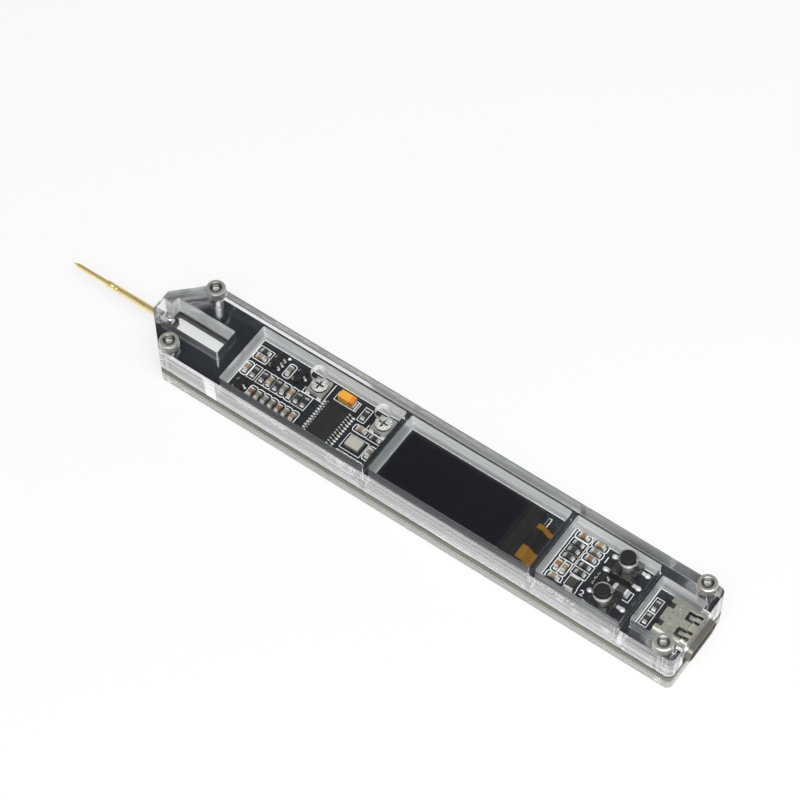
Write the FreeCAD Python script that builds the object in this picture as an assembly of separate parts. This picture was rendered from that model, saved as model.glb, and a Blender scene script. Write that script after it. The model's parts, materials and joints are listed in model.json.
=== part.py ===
"""Pen-style bench tester: a circuit board clamped between two clear plates, with a spring probe.

Millimetres. +X runs from the probe to the socket, +Z is up. The origin is the middle of the underside.
"""
import FreeCAD
import Part

import math
import os

V = FreeCAD.Vector
X_AXIS = V(1, 0, 0)
Z_AXIS = V(0, 0, 1)

# Stack of plates
body_width = 17.2
nose_flat = 4.6
rear_corner_radius = 1.2
plate_thickness = 2.3
board_thickness = 1.6
cover_thickness = 6.2
roof_thickness = 1.6
pocket_width = 13.6
pocket_corner = 0.35

# Lengths along the pen, from the nose to the socket end
nose_wall = 1.85
probe_pocket_length = 13.1
web = 3.45
rib = 1.15
key_pocket_length = 17.5
end_wall = 1.6

# Widths of the narrow pockets
probe_pocket_width = 5.6
neck_width = 2.3
slot_inset = 0.35
tongue_length = 0.9

# Screws
screw_radius = 1.0
screw_head_radius = 1.9
screw_head_height = 2.0
screw_head_chamfer = 0.2
screw_key_flats = 1.5
screw_key_depth = 1.0
screw_tip_gap = 0.1
screw_tip_chamfer = 0.25
screw_clearance = 0.1
thread_clearance = 0.02
screw_edge = 1.6
screw_nose_setback = 7.5
screw_end_setback = 3.05

# Spring probe
barrel_radius = 0.68
barrel_bore = 0.60
barrel_reach = 12.8
barrel_end_wall = 0.3
tail_radius = 0.50
tail_length = 2.65
barrel_lip = 0.6
barrel_lift = 0.02
plunger_radius = 0.50
plunger_reach = 8.1
plunger_point = 1.3
plunger_point_radius = 0.06
plunger_clearance = 0.03
piston_length = 2.0
piston_clearance = 0.025
spring_wall = 0.2
spring_clearance = 0.05
solder_radius = 1.0
solder_skirt = 0.4
solder_setback = 0.35
solder_cover = 0.1

# Display
glass_length = 30.0
glass_width = 11.5
rear_glass = 0.7
cap_glass = 0.55
polariser = 0.2
polariser_inset = 0.5
ledge = 3.9
foam = 0.5
foam_inset = 0.5
display_margin = 0.8
flex_room = 3.6
driver_width = 1.2
driver_length = 8.0
driver_height = 0.3
driver_setback = 0.6
tape_height = 0.42
tape_inset = 0.3
tape_gap = 0.05
flex_bond = 0.85
flex_thickness = 0.12
flex_bend = 0.5
flex_drop = 1.1
flex_landing = 1.1
flex_near = -4.8
flex_far = 3.2
film_thickness = 0.06
film_near = -1.9
film_far = 2.1

# Small parts on the board
chip_length = 1.6
chip_width = 0.8
capacitor_height = 0.8
resistor_height = 0.45
chip_cap = 0.32
row_pitch = 1.55
row_setback = 4.7
row_line = 0.05
near_row_inset = 2.95
pair_setback = 1.0
pair_pitch = 1.7
stack_setback = 1.8
stack_insets = (2.1, 3.6)
lone_setback = 7.8
lone_inset = 2.9
trimmer_chip_setback = 7.4
trimmer_chip_inset = 2.7
middle_setbacks = (6.1, 3.0)
middle_inset = 5.7
oscillator_chip_setback = 2.1
oscillator_chip_line = -2.0
near_chip_setbacks = (6.1, 3.3)
near_chip_inset = 1.6
key_column_setbacks = (2.1, 5.5)
key_column_insets = ((0.9, 2.6, 4.15, 5.7), (0.8, 2.4, 4.0, 5.7, 7.3))
key_pair_setbacks = (1.4, 2.8)
key_pair_line = -1.3
key_near_chip_inset = 3.1
socket_chip_setback = 1.25
socket_chip_lines = (1.7, -1.3)

# Keys
key_side = 4.5
key_base_height = 1.7
key_cover = 0.25
key_cavity_radius = 1.8
key_floor = 0.6
key_cap_radius = 1.4
key_flange_radius = 1.65
key_flange = 0.4
key_flange_gap = 0.03
key_guide_clearance = 0.05
key_roof_clearance = 0.35
key_proud = 0.3
key_dome_wall = 0.1
key_dome_radius = 1.6
key_dome_gap = 0.05
key_setback = 9.85
key_far_gap = 0.25
key_near_gap = 0.75
key_terminal_pitch = 3.0
key_terminal_reach = 1.45
key_terminal_width = 0.7
key_terminal_thickness = 0.2

# Trimmers
trimmer_length = 3.4
trimmer_width = 3.8
trimmer_height = 0.9
trimmer_bore = 0.45
trimmer_bore_depth = 0.7
rotor_radius = 1.6
rotor_thickness = 0.5
rotor_seat = 0.05
rotor_pin_clearance = 0.05
rotor_pin_length = 0.6
rotor_slot_length = 1.9
rotor_slot_width = 0.35
rotor_slot_depth = 0.25
rotor_eye_radius = 0.3
trimmer_hole_radius = 1.5
trimmer_wall_gap = 0.45
trimmer_lead_gap = 0.65
trimmer_end_gap = 1.55
trimmer_strap = 0.15
trimmer_strap_width = 0.9
trimmer_strap_height = 0.6
trimmer_foot = 0.4

# Controller chip
controller_gap = 2.4
controller_shift = -1.2
controller_width = 4.4
controller_length = 7.8
controller_height = 0.9
controller_standoff = 0.1
controller_leads_per_side = 12
controller_pitch = 0.65
controller_lead_width = 0.22
controller_lead_reach = 1.0
controller_lead_thickness = 0.15
lead_foot_share = 0.45
lead_shoulder_share = 0.6

# Transistors
transistor_width = 1.3
transistor_length = 2.9
transistor_height = 0.95
transistor_pitch = 0.95
transistor_lead_width = 0.4
transistor_lead_reach = 0.55
transistor_setbacks = (5.0, 10.2, 2.2)
transistor_far_inset = 2.8
transistor_near_inset = 3.1
key_transistor_gap = 2.8
key_transistor_line = 0.3

# Oscillator, tantalum capacitor, diode and fuse
oscillator_gap = 1.8
oscillator_end_room = 3.7
oscillator_shift = -2.1
oscillator_length = 3.2
oscillator_width = 2.5
oscillator_base = 0.5
oscillator_lid = 0.5
oscillator_lid_inset = 0.15
tantalum_wall_gap = 1.25
tantalum_shift = 0.2
tantalum_length = 3.2
tantalum_width = 1.7
tantalum_height = 1.6
tantalum_strap = 0.12
tantalum_strap_width = 1.2
tantalum_strap_height = 0.8
tantalum_foot = 0.8
diode_shift = 1.2
diode_line = 0.6
diode_size = (2.6, 1.25, 0.95)
diode_cap = 0.45
fuse_inset = 10.1
fuse_size = (3.2, 1.6, 0.9)
fuse_cap = 0.5

# USB-C style socket
shell_width = 8.94
shell_height = 3.2
shell_wall = 0.3
shell_length = 8.2
shell_overhang = 1.0
shell_cutout_clearance = 0.28
socket_side_room = 0.78
socket_bay = 3.65
latch_length = 2.9
latch_width = 1.9
latch_slot = 0.6
latch_setback = 1.7
latch_offset = 1.78
dimple_radius = 0.4
dimple_depth = 0.12
dimple_setback = 5.85
shell_notch_depth = 1.1
shell_notch_width = 1.2
shell_notch_offset = 2.0
insert_depth = 2.6
insert_setback = 0.3
tongue_width = 6.6
tongue_thickness = 0.7
tongue_mouth_gap = 1.2
contacts_per_row = 8
contact_pitch = 0.75
contact_width = 0.3
contact_thickness = 0.06
contact_length = 3.2
contact_tail = 0.9
contact_tail_thickness = 0.15

# Derived lengths and stations along X
row_chips = "RTRGTRR"
near_row_chips = "BGGGBGT"
row_end = row_setback + (len(row_chips) - 1) * row_pitch + chip_width / 2
controller_half = controller_width / 2 + controller_lead_reach
controller_along = row_end + controller_gap + controller_half
oscillator_along = controller_along + controller_half + oscillator_gap + oscillator_length / 2
component_pocket_length = oscillator_along + oscillator_length / 2 + oscillator_end_room
display_pocket_length = display_margin + glass_length + flex_room
socket_pocket_length = socket_bay + shell_length - shell_overhang - end_wall
body_length = (
    nose_wall + probe_pocket_length + web + component_pocket_length + rib + display_pocket_length
    + rib + key_pocket_length + rib + socket_pocket_length + end_wall
)
nose_x = -body_length / 2
probe_x0 = nose_x + nose_wall
probe_x1 = probe_x0 + probe_pocket_length
component_x0 = probe_x1 + web
component_x1 = component_x0 + component_pocket_length
display_x0 = component_x1 + rib
display_x1 = display_x0 + display_pocket_length
key_x0 = display_x1 + rib
key_x1 = key_x0 + key_pocket_length
socket_x0 = key_x1 + rib
socket_x1 = socket_x0 + socket_pocket_length
end_x = socket_x1 + end_wall

# Derived heights
board_bottom = plate_thickness
board_top = board_bottom + board_thickness
cover_top = board_top + cover_thickness
roof_underside = cover_top - roof_thickness

# Derived half widths
half_width = body_width / 2
pocket_half = pocket_width / 2
probe_half = probe_pocket_width / 2
neck_half = neck_width / 2
slot_half = probe_half - slot_inset
socket_half = shell_width / 2 + socket_side_room

# Places that several pieces share
screw_places = [
    (x, side * (half_width - screw_edge))
    for x in (nose_x + screw_nose_setback, end_x - screw_end_setback)
    for side in (-1, 1)
]
probe_z = board_top + barrel_lift + barrel_radius
barrel_x0 = nose_x - barrel_reach
tail_x1 = nose_x + tail_length
cavity_x1 = nose_x - barrel_end_wall
piston_x0 = barrel_x0 + barrel_lip + plunger_clearance
piston_x1 = piston_x0 + piston_length
slot_x0 = probe_x0 + slot_inset / 2
slot_x1 = probe_x1 - slot_inset
tongue_x1 = slot_x0 + tongue_length
glass_x0 = display_x0 + display_margin
glass_x1 = glass_x0 + glass_length
ledge_z = board_top + foam + rear_glass
key_x = key_x0 + key_setback + key_side / 2
key_places = {
    "key_1": (key_x, pocket_half - key_far_gap - key_side / 2),
    "key_2": (key_x, key_near_gap + key_side / 2 - pocket_half),
}
controller_place = (component_x0 + controller_along, controller_shift)
trimmer_y = pocket_half - trimmer_wall_gap - trimmer_foot - trimmer_width / 2
trimmer_places = {
    "trimmer_1": (controller_place[0] - controller_half - trimmer_lead_gap - trimmer_length / 2, trimmer_y),
    "trimmer_2": (component_x1 - trimmer_end_gap - trimmer_length / 2, trimmer_y),
}
oscillator_place = (component_x0 + oscillator_along, oscillator_shift)
tantalum_place = (controller_place[0] + tantalum_shift, pocket_half - tantalum_wall_gap - tantalum_width / 2)
diode_place = (key_x + diode_shift, diode_line)
fuse_place = (key_x0 + key_column_setbacks[1], pocket_half - fuse_inset)
shell_x1 = end_x + shell_overhang
shell_x0 = shell_x1 - shell_length
shell_z = board_top + shell_height / 2



def far(inset):
    """Y of a part set in from the far wall of the wide pockets."""
    return pocket_half - inset


def near(inset):
    """Y of a part set in from the near wall of the wide pockets."""
    return inset - pocket_half


# Small chips: letter, x, y and direction. T, G and B are tan, grey and brown capacitors, R resistors
row_first = component_x0 + row_setback
chips = [(kind, component_x0 + pair_setback + i * pair_pitch, row_line, "y") for i, kind in enumerate("TR")]
chips += [(kind, row_first + i * row_pitch, row_line, "y") for i, kind in enumerate(row_chips)]
near_row = near(near_row_inset)
chips += [(kind, row_first + i * row_pitch, near_row, "y") for i, kind in enumerate(near_row_chips)]
chips += [(kind, component_x0 + stack_setback, far(inset), "x") for kind, inset in zip("RT", stack_insets)]
chips.append(("G", component_x0 + lone_setback, far(lone_inset), "y"))
chips.append(("R", component_x1 - trimmer_chip_setback, far(trimmer_chip_inset), "y"))
for kind, setback in zip("TR", middle_setbacks):
    chips.append((kind, component_x1 - setback, far(middle_inset), "x"))
chips.append(("G", component_x1 - oscillator_chip_setback, oscillator_chip_line, "y"))
chips += [("T", component_x1 - setback, near(near_chip_inset), "x") for setback in near_chip_setbacks]
for kinds, setback, insets in zip(("BRRR", "TGBRR"), key_column_setbacks, key_column_insets):
    chips += [(kind, key_x0 + setback, far(inset), "x") for kind, inset in zip(kinds, insets)]
chips += [(kind, key_x0 + setback, key_pair_line, "y") for kind, setback in zip("BT", key_pair_setbacks)]
chips.append(("T", key_x0 + key_column_setbacks[0], near(key_near_chip_inset), "x"))
chips += [("R", socket_x0 + socket_chip_setback, line, "y") for line in socket_chip_lines]

# Transistors: x, y, rows of leads on the -X side, rows of leads on the +X side
ONE, TWO, THREE = (0,), (-1, 1), (-1, 0, 1)
transistors = [
    (component_x0 + transistor_setbacks[0], far(transistor_far_inset), TWO, THREE),
    (component_x0 + transistor_setbacks[1], far(transistor_far_inset), TWO, ONE),
    (component_x0 + transistor_setbacks[2], near(transistor_near_inset), TWO, ONE),
    (key_x - key_transistor_gap, key_transistor_line, THREE, TWO),
]


def span(x0, x1, y0, y1, z0, z1):
    """Block between two limits on each axis."""
    return Part.makeBox(x1 - x0, y1 - y0, z1 - z0, V(x0, y0, z0))


def block(x, y, z, length, width, height):
    """Block centred on x and y that stands on z."""
    return Part.makeBox(length, width, height, V(x - length / 2, y - width / 2, z))


def post(x, y, z0, z1, radius):
    """Upright cylinder."""
    return Part.makeCylinder(radius, z1 - z0, V(x, y, z0), Z_AXIS)


def rod(x0, x1, radius):
    """Cylinder on the probe's axis."""
    return Part.makeCylinder(radius, x1 - x0, V(x0, 0, probe_z), X_AXIS)


def pocket(x0, x1, half, z0, z1):
    """Milled pocket with rounded upright corners."""
    solid = span(x0, x1, -half, half, z0, z1)
    upright = [e for e in solid.Edges if abs(e.Vertexes[0].X - e.Vertexes[1].X) < 1e-6
               and abs(e.Vertexes[0].Y - e.Vertexes[1].Y) < 1e-6]
    return solid.makeFillet(pocket_corner, upright)


def profile_along_y(points, y0, y1):
    """Solid from (x, z) points, drawn out from y0 to y1."""
    corners = [V(x, y0, z) for x, z in points]
    return Part.Face(Part.makePolygon(corners + corners[:1])).extrude(V(0, y1 - y0, 0))


def obround(x0, x1, z, half_w, half_h):
    """Bar along X with a flat-sided round section."""
    straight = half_w - half_h
    top_right, top_left = V(x0, straight, z + half_h), V(x0, -straight, z + half_h)
    low_right, low_left = V(x0, straight, z - half_h), V(x0, -straight, z - half_h)
    edges = [
        Part.LineSegment(low_left, low_right).toShape(),
        Part.Arc(low_right, V(x0, half_w, z), top_right).toShape(),
        Part.LineSegment(top_right, top_left).toShape(),
        Part.Arc(top_left, V(x0, -half_w, z), low_left).toShape(),
    ]
    return Part.Face(Part.Wire(edges)).extrude(V(x1 - x0, 0, 0))


def outline(z0, z1):
    """Plate with a tapered nose and rounded rear corners."""
    flat = nose_flat / 2
    shoulder = nose_x + half_width - flat
    radius = rear_corner_radius
    mid = radius * (1 - math.sqrt(0.5))
    near = [V(nose_x, -flat, z0), V(shoulder, -half_width, z0), V(end_x - radius, -half_width, z0)]
    far = [V(end_x - radius, half_width, z0), V(shoulder, half_width, z0), V(nose_x, flat, z0)]
    near_turn, far_turn = V(end_x, -half_width + radius, z0), V(end_x, half_width - radius, z0)
    edges = [
        Part.LineSegment(near[0], near[1]).toShape(),
        Part.LineSegment(near[1], near[2]).toShape(),
        Part.Arc(near[2], V(end_x - mid, -half_width + mid, z0), near_turn).toShape(),
        Part.LineSegment(near_turn, far_turn).toShape(),
        Part.Arc(far_turn, V(end_x - mid, half_width - mid, z0), far[0]).toShape(),
        Part.LineSegment(far[0], far[1]).toShape(),
        Part.LineSegment(far[1], far[2]).toShape(),
        Part.LineSegment(far[2], near[0]).toShape(),
    ]
    return Part.Face(Part.Wire(edges)).extrude(V(0, 0, z1 - z0))


def screw_holes(z0, z1, clearance):
    """Four upright holes for the case screws."""
    return [post(x, y, z0, z1, screw_radius + clearance) for x, y in screw_places]


def top_cover():
    """Clear cover: pockets milled from below leave a thin roof with holes over trimmers and keys."""
    wide = [(component_x0, component_x1), (display_x0, display_x1), (key_x0, key_x1)]
    cuts = [pocket(x0, x1, pocket_half, board_top, roof_underside) for x0, x1 in wide]
    cuts.append(pocket(probe_x0, probe_x1, probe_half, board_top, roof_underside))
    cuts.append(pocket(socket_x0, socket_x1, socket_half, board_top, roof_underside))
    cuts.append(span(nose_x, probe_x0 + pocket_corner, -neck_half, neck_half, board_top, roof_underside))
    mouth_half = shell_width / 2 + shell_cutout_clearance
    mouth_rise = shell_height / 2 + shell_cutout_clearance
    cuts.append(obround(socket_x1 - pocket_corner, end_x, shell_z, mouth_half, mouth_rise))
    cuts.append(span(socket_x1 - pocket_corner, end_x, -mouth_half, mouth_half, board_top, shell_z))
    for x, y in trimmer_places.values():
        cuts.append(post(x, y, roof_underside, cover_top, trimmer_hole_radius))
    for x, y in key_places.values():
        cuts.append(post(x, y, roof_underside, cover_top, key_cap_radius + key_roof_clearance))
    cuts += screw_holes(board_top, cover_top, screw_clearance)
    return outline(board_top, cover_top).cut(cuts)


def circuit_board():
    """Board with a slot behind the nose and a tongue that carries the probe's tail."""
    slot = span(slot_x0, slot_x1, -slot_half, slot_half, board_bottom, board_top)
    tongue = span(slot_x0, tongue_x1, -neck_half, neck_half, board_bottom, board_top)
    cuts = [slot.cut(tongue)] + screw_holes(board_bottom, board_top, screw_clearance)
    return outline(board_bottom, board_top).cut(cuts)


def bottom_plate():
    """Clear base plate that the screws thread into."""
    return outline(0, board_bottom).cut(screw_holes(0, board_bottom, thread_clearance))


def case_screw(x, y):
    """Socket-head screw with a hexagon recess."""
    head = post(x, y, cover_top, cover_top + screw_head_height, screw_head_radius)
    rim_edges = [e for e in head.Edges if e.BoundBox.ZMin > cover_top + screw_head_height - 1e-6]
    head = head.makeChamfer(screw_head_chamfer, rim_edges)
    corner = screw_key_flats / math.sqrt(3)
    recess_z = cover_top + screw_head_height - screw_key_depth
    turns = [math.radians(60 * i) for i in range(6)]
    ring = [V(x + corner * math.cos(a), y + corner * math.sin(a), recess_z) for a in turns]
    recess = Part.Face(Part.makePolygon(ring + ring[:1])).extrude(V(0, 0, screw_key_depth))
    shank = post(x, y, screw_tip_gap + screw_tip_chamfer, cover_top, screw_radius)
    tip = Part.makeCone(screw_radius - screw_tip_chamfer, screw_radius, screw_tip_chamfer,
                        V(x, y, screw_tip_gap), Z_AXIS)
    return head.cut(recess).fuse([shank, tip]).removeSplitter()


def probe_barrel():
    """Tube with a lip at the mouth that holds the piston in, and a thinner solder tail behind the nose."""
    cavity = rod(barrel_x0 + barrel_lip, cavity_x1, barrel_bore)
    mouth = rod(barrel_x0, barrel_x0 + barrel_lip, plunger_radius + plunger_clearance)
    tube = rod(barrel_x0, nose_x, barrel_radius).cut([cavity, mouth])
    return tube.fuse(rod(nose_x, tail_x1, tail_radius)).removeSplitter()


def probe_plunger():
    """Pointed plunger with a piston inside the barrel."""
    tip_x = barrel_x0 - plunger_reach
    point = Part.makeCone(plunger_point_radius, plunger_radius, plunger_point, V(tip_x, 0, probe_z), X_AXIS)
    shank = rod(tip_x + plunger_point, piston_x0, plunger_radius)
    piston = rod(piston_x0, piston_x1, barrel_bore - piston_clearance)
    return point.fuse([shank, piston]).removeSplitter()


def probe_spring():
    """Sleeve that fills the room of the spring behind the piston."""
    outer = barrel_bore - spring_clearance
    return rod(piston_x1, cavity_x1, outer).cut(rod(piston_x1, cavity_x1, outer - spring_wall))


def probe_solder():
    """Solder mound that covers the tail and bonds it to the board's nose."""
    x0, x1 = nose_x + solder_setback, tail_x1 + solder_cover
    crown_z = board_top + solder_skirt
    crown = Part.makeCylinder(solder_radius, x1 - x0, V(x0, 0, crown_z), X_AXIS)
    upper = span(x0, x1, -solder_radius, solder_radius, crown_z, crown_z + solder_radius)
    skirt = span(x0, x1, -solder_radius, solder_radius, board_top, crown_z)
    mound = crown.common(upper).fuse(skirt).removeSplitter()
    return mound.cut(rod(nose_x, tail_x1, tail_radius))


def display_driver():
    """Bare driver chip on the ledge of the rear glass."""
    x0 = glass_x1 - ledge + driver_setback
    half = driver_length / 2
    return span(x0, x0 + driver_width, -half, half, ledge_z, ledge_z + driver_height)


def display_tape():
    """Black tape over the ledge and its chip."""
    half = glass_width / 2 - tape_inset
    x0, x1 = glass_x1 - ledge + tape_gap, glass_x1 - flex_bond - tape_gap
    return span(x0, x1, -half, half, ledge_z, ledge_z + tape_height).cut(display_driver())


def flex_line(lift):
    """Points along the flex tail, from the ledge down to the board."""
    return [
        (glass_x1 - flex_bond, ledge_z + lift),
        (glass_x1 + flex_bend, ledge_z + lift),
        (glass_x1 + flex_bend + flex_drop, board_top + lift),
        (glass_x1 + flex_bend + flex_drop + flex_landing, board_top + lift),
    ]


def flex_sheet(low, high, y0, y1):
    """Bent sheet between two lifts above the ledge and board."""
    return profile_along_y(flex_line(low) + flex_line(high)[::-1], y0, y1)


def display_parts():
    """Foam, glasses, polariser, chip, tape and flex tail of the display."""
    half = glass_width / 2
    rear_z = board_top + foam
    cap_x1 = glass_x1 - ledge
    cap_top = ledge_z + cap_glass
    return {
        "display_foam": span(glass_x0 + foam_inset, glass_x1 - foam_inset, -half + foam_inset,
                             half - foam_inset, board_top, rear_z),
        "display_rear_glass": span(glass_x0, glass_x1, -half, half, rear_z, ledge_z),
        "display_cap_glass": span(glass_x0, cap_x1, -half, half, ledge_z, cap_top),
        "display_polariser": span(glass_x0 + polariser_inset, cap_x1 - polariser_inset,
                                  -half + polariser_inset, half - polariser_inset,
                                  cap_top, cap_top + polariser),
        "display_driver": display_driver(),
        "display_tape": display_tape(),
        "display_flex": flex_sheet(0, flex_thickness, flex_near, flex_far),
        "display_flex_film": flex_sheet(flex_thickness, flex_thickness + film_thickness, film_near, film_far),
    }


def gull_lead(x, y, side, half, reach, rise, thickness, width):
    """Bent lead from a body's side down to a foot on the board."""
    knee = reach * (1 - lead_foot_share)
    shoulder = knee * lead_shoulder_share
    line = [(half, rise), (half + shoulder, rise), (half + knee, 0), (half + reach, 0)]
    points = [(x + side * u, board_top + w) for u, w in line]
    points += [(x + side * u, board_top + w + thickness) for u, w in reversed(line)]
    return profile_along_y(points, y - width / 2, y + width / 2)


def controller_parts():
    """Fine-pitch chip with a row of leads on each side."""
    x, y = controller_place
    underside = board_top + controller_standoff
    body = block(x, y, underside, controller_width, controller_length, controller_height)
    first = y - controller_pitch * (controller_leads_per_side - 1) / 2
    leads = [
        gull_lead(x, first + i * controller_pitch, side, controller_width / 2, controller_lead_reach,
                  controller_standoff + controller_height / 2, controller_lead_thickness,
                  controller_lead_width)
        for side in (-1, 1) for i in range(controller_leads_per_side)
    ]
    return {"controller_body": body, "controller_leads": Part.makeCompound(leads)}


def transistor_parts():
    """Small moulded transistors and regulators with their leads."""
    bodies, leads = [], []
    for x, y, left, right in transistors:
        bodies.append(block(x, y, board_top + controller_standoff, transistor_width, transistor_length,
                            transistor_height))
        for side, rows in ((-1, left), (1, right)):
            leads += [gull_lead(x, y + k * transistor_pitch, side, transistor_width / 2,
                                transistor_lead_reach, controller_standoff + transistor_height / 2,
                                controller_lead_thickness, transistor_lead_width) for k in rows]
    return {"transistor_bodies": Part.makeCompound(bodies), "transistor_leads": Part.makeCompound(leads)}


def oscillator_parts():
    """Oscillator: ceramic base under a metal lid."""
    x, y = oscillator_place
    inset = 2 * oscillator_lid_inset
    return {
        "oscillator_base": block(x, y, board_top, oscillator_length, oscillator_width, oscillator_base),
        "oscillator_lid": block(x, y, board_top + oscillator_base, oscillator_length - inset,
                                oscillator_width - inset, oscillator_lid),
    }


def tantalum_parts():
    """Moulded capacitor with a strap folded under each end."""
    x, y = tantalum_place
    body = block(x, y, board_top + tantalum_strap, tantalum_length, tantalum_width, tantalum_height)
    straps = []
    for side in (-1, 1):
        face = x + side * tantalum_length / 2
        upright = block(face + side * tantalum_strap / 2, y, board_top, tantalum_strap, tantalum_strap_width,
                        tantalum_strap_height)
        foot = block(face - side * tantalum_foot / 2, y, board_top, tantalum_foot, tantalum_strap_width,
                     tantalum_strap)
        straps.append(upright.fuse(foot).removeSplitter())
    return {"tantalum_body": body, "tantalum_terminals": Part.makeCompound(straps)}


def chip(x, y, along, size, cap):
    """Body and two end caps of a chip that lies along x or y."""
    length, width, height = size
    pieces = []
    for centre, run in ((0, length - 2 * cap), (-(length - cap) / 2, cap), ((length - cap) / 2, cap)):
        if along == "x":
            pieces.append(block(x + centre, y, board_top, run, width, height))
        else:
            pieces.append(block(x, y + centre, board_top, width, run, height))
    return pieces[0], pieces[1:]


def chip_parts():
    """Chip capacitors grouped by colour, chip resistors, and their end caps."""
    bodies = {"T": [], "G": [], "B": [], "R": []}
    capacitor_ends, resistor_ends = [], []
    for kind, x, y, along in chips:
        height = resistor_height if kind == "R" else capacitor_height
        body, ends = chip(x, y, along, (chip_length, chip_width, height), chip_cap)
        bodies[kind].append(body)
        if kind == "R":
            resistor_ends += ends
        else:
            capacitor_ends += ends
    return {
        "capacitors_tan": Part.makeCompound(bodies["T"]),
        "capacitors_grey": Part.makeCompound(bodies["G"]),
        "capacitors_brown": Part.makeCompound(bodies["B"]),
        "capacitor_end_caps": Part.makeCompound(capacitor_ends),
        "resistors": Part.makeCompound(bodies["R"]),
        "resistor_end_caps": Part.makeCompound(resistor_ends),
    }


def power_parts():
    """Diode beside the keys and fuse beside the chips."""
    diode, diode_ends = chip(*diode_place, "x", diode_size, diode_cap)
    fuse, fuse_ends = chip(*fuse_place, "y", fuse_size, fuse_cap)
    return {
        "diode_body": diode,
        "diode_end_caps": Part.makeCompound(diode_ends),
        "fuse_body": fuse,
        "fuse_end_caps": Part.makeCompound(fuse_ends),
    }


def trimmer_parts(name):
    """Trimmer: base with a bore, turning rotor with a cross recess, three terminals."""
    x, y = trimmer_places[name]
    top = board_top + trimmer_height
    base = block(x, y, board_top, trimmer_length, trimmer_width, trimmer_height)
    base = base.cut(post(x, y, top - trimmer_bore_depth, top, trimmer_bore))
    disc_z = top + rotor_seat
    disc_top = disc_z + rotor_thickness
    disc = post(x, y, disc_z, disc_top, rotor_radius)
    pin = post(x, y, disc_z - rotor_pin_length, disc_z, trimmer_bore - rotor_pin_clearance)
    slot_z = disc_top - rotor_slot_depth
    cross = [
        block(x, y, slot_z, rotor_slot_length, rotor_slot_width, rotor_slot_depth),
        block(x, y, slot_z, rotor_slot_width, rotor_slot_length, rotor_slot_depth),
        post(x, y, slot_z, disc_top, rotor_eye_radius),
    ]
    rotor = disc.fuse(pin).removeSplitter().cut(cross)
    straps = []
    for side, offset in ((-1, -1), (-1, 1), (1, 0)):
        strap_x = x + offset * (trimmer_length - trimmer_strap_width) / 2
        face = y + side * trimmer_width / 2
        upright = block(strap_x, face + side * trimmer_strap / 2, board_top, trimmer_strap_width,
                        trimmer_strap, trimmer_strap_height)
        foot = block(strap_x, face + side * trimmer_foot / 2, board_top, trimmer_strap_width, trimmer_foot,
                     trimmer_strap)
        straps.append(upright.fuse(foot).removeSplitter())
    return {name + "_base": base, name + "_rotor": rotor, name + "_terminals": Part.makeCompound(straps)}


def key_dome(x, y, floor_z, rise):
    """Snap dome: a thin cap of a ball."""
    ball = (key_dome_radius ** 2 + rise ** 2) / (2 * rise)
    centre = V(x, y, floor_z + rise - ball)
    skin = Part.makeSphere(ball, centre).cut(Part.makeSphere(ball - key_dome_wall, centre))
    return skin.common(post(x, y, floor_z, floor_z + rise, key_dome_radius + key_dome_wall))


def key_parts(name):
    """Push key: base, metal cover, plunger, snap dome and four terminals."""
    x, y = key_places[name]
    base_top = board_top + key_base_height
    floor_z = board_top + key_floor
    base = block(x, y, board_top, key_side, key_side, key_base_height)
    base = base.cut(post(x, y, floor_z, base_top, key_cavity_radius))
    cover = block(x, y, base_top, key_side, key_side, key_cover)
    cover = cover.cut(post(x, y, base_top, base_top + key_cover, key_cap_radius + key_guide_clearance))
    flange_top = base_top - key_flange_gap
    flange = post(x, y, flange_top - key_flange, flange_top, key_flange_radius)
    plunger = flange.fuse(post(x, y, flange_top, cover_top + key_proud, key_cap_radius)).removeSplitter()
    dome = key_dome(x, y, floor_z, flange_top - key_flange - key_dome_gap - floor_z)
    reach = key_side / 2 + key_terminal_reach / 2
    terminals = [
        block(x + side * reach, y + row * key_terminal_pitch / 2, board_top, key_terminal_reach,
              key_terminal_width, key_terminal_thickness)
        for side in (-1, 1) for row in (-1, 1)
    ]
    return {
        name + "_base": base,
        name + "_cover": cover,
        name + "_plunger": plunger,
        name + "_dome": dome,
        name + "_terminals": Part.makeCompound(terminals),
    }


def usb_shell():
    """Pressed shell with two latch fingers, two dimples and two rear notches on top."""
    shell = obround(shell_x0, shell_x1, shell_z, shell_width / 2, shell_height / 2)
    bore = obround(shell_x0, shell_x1, shell_z, shell_width / 2 - shell_wall, shell_height / 2 - shell_wall)
    top = shell_z + shell_height / 2
    cuts = [bore]
    for side in (-1, 1):
        x1 = shell_x1 - latch_setback
        x0 = x1 - latch_length
        y = side * latch_offset
        ring = span(x0, x1, y - latch_width / 2, y + latch_width / 2, top - shell_wall, top)
        finger = span(x0 + latch_slot, x1, y - latch_width / 2 + latch_slot, y + latch_width / 2 - latch_slot,
                      top - shell_wall, top)
        cuts.append(ring.cut(finger))
        cuts.append(post(shell_x1 - dimple_setback, y, top - dimple_depth, top, dimple_radius))
        y = side * shell_notch_offset
        cuts.append(span(shell_x0, shell_x0 + shell_notch_depth, y - shell_notch_width / 2,
                         y + shell_notch_width / 2, top - shell_wall, top))
    return shell.cut(cuts)


def usb_insert():
    """Moulded insert that fills the back of the shell and carries the tongue."""
    x0 = shell_x0 + insert_setback
    plug = obround(x0, x0 + insert_depth, shell_z, shell_width / 2 - shell_wall,
                   shell_height / 2 - shell_wall)
    tongue = span(x0, shell_x1 - tongue_mouth_gap, -tongue_width / 2, tongue_width / 2,
                  shell_z - tongue_thickness / 2, shell_z + tongue_thickness / 2)
    return plug.fuse(tongue).removeSplitter()


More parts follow.
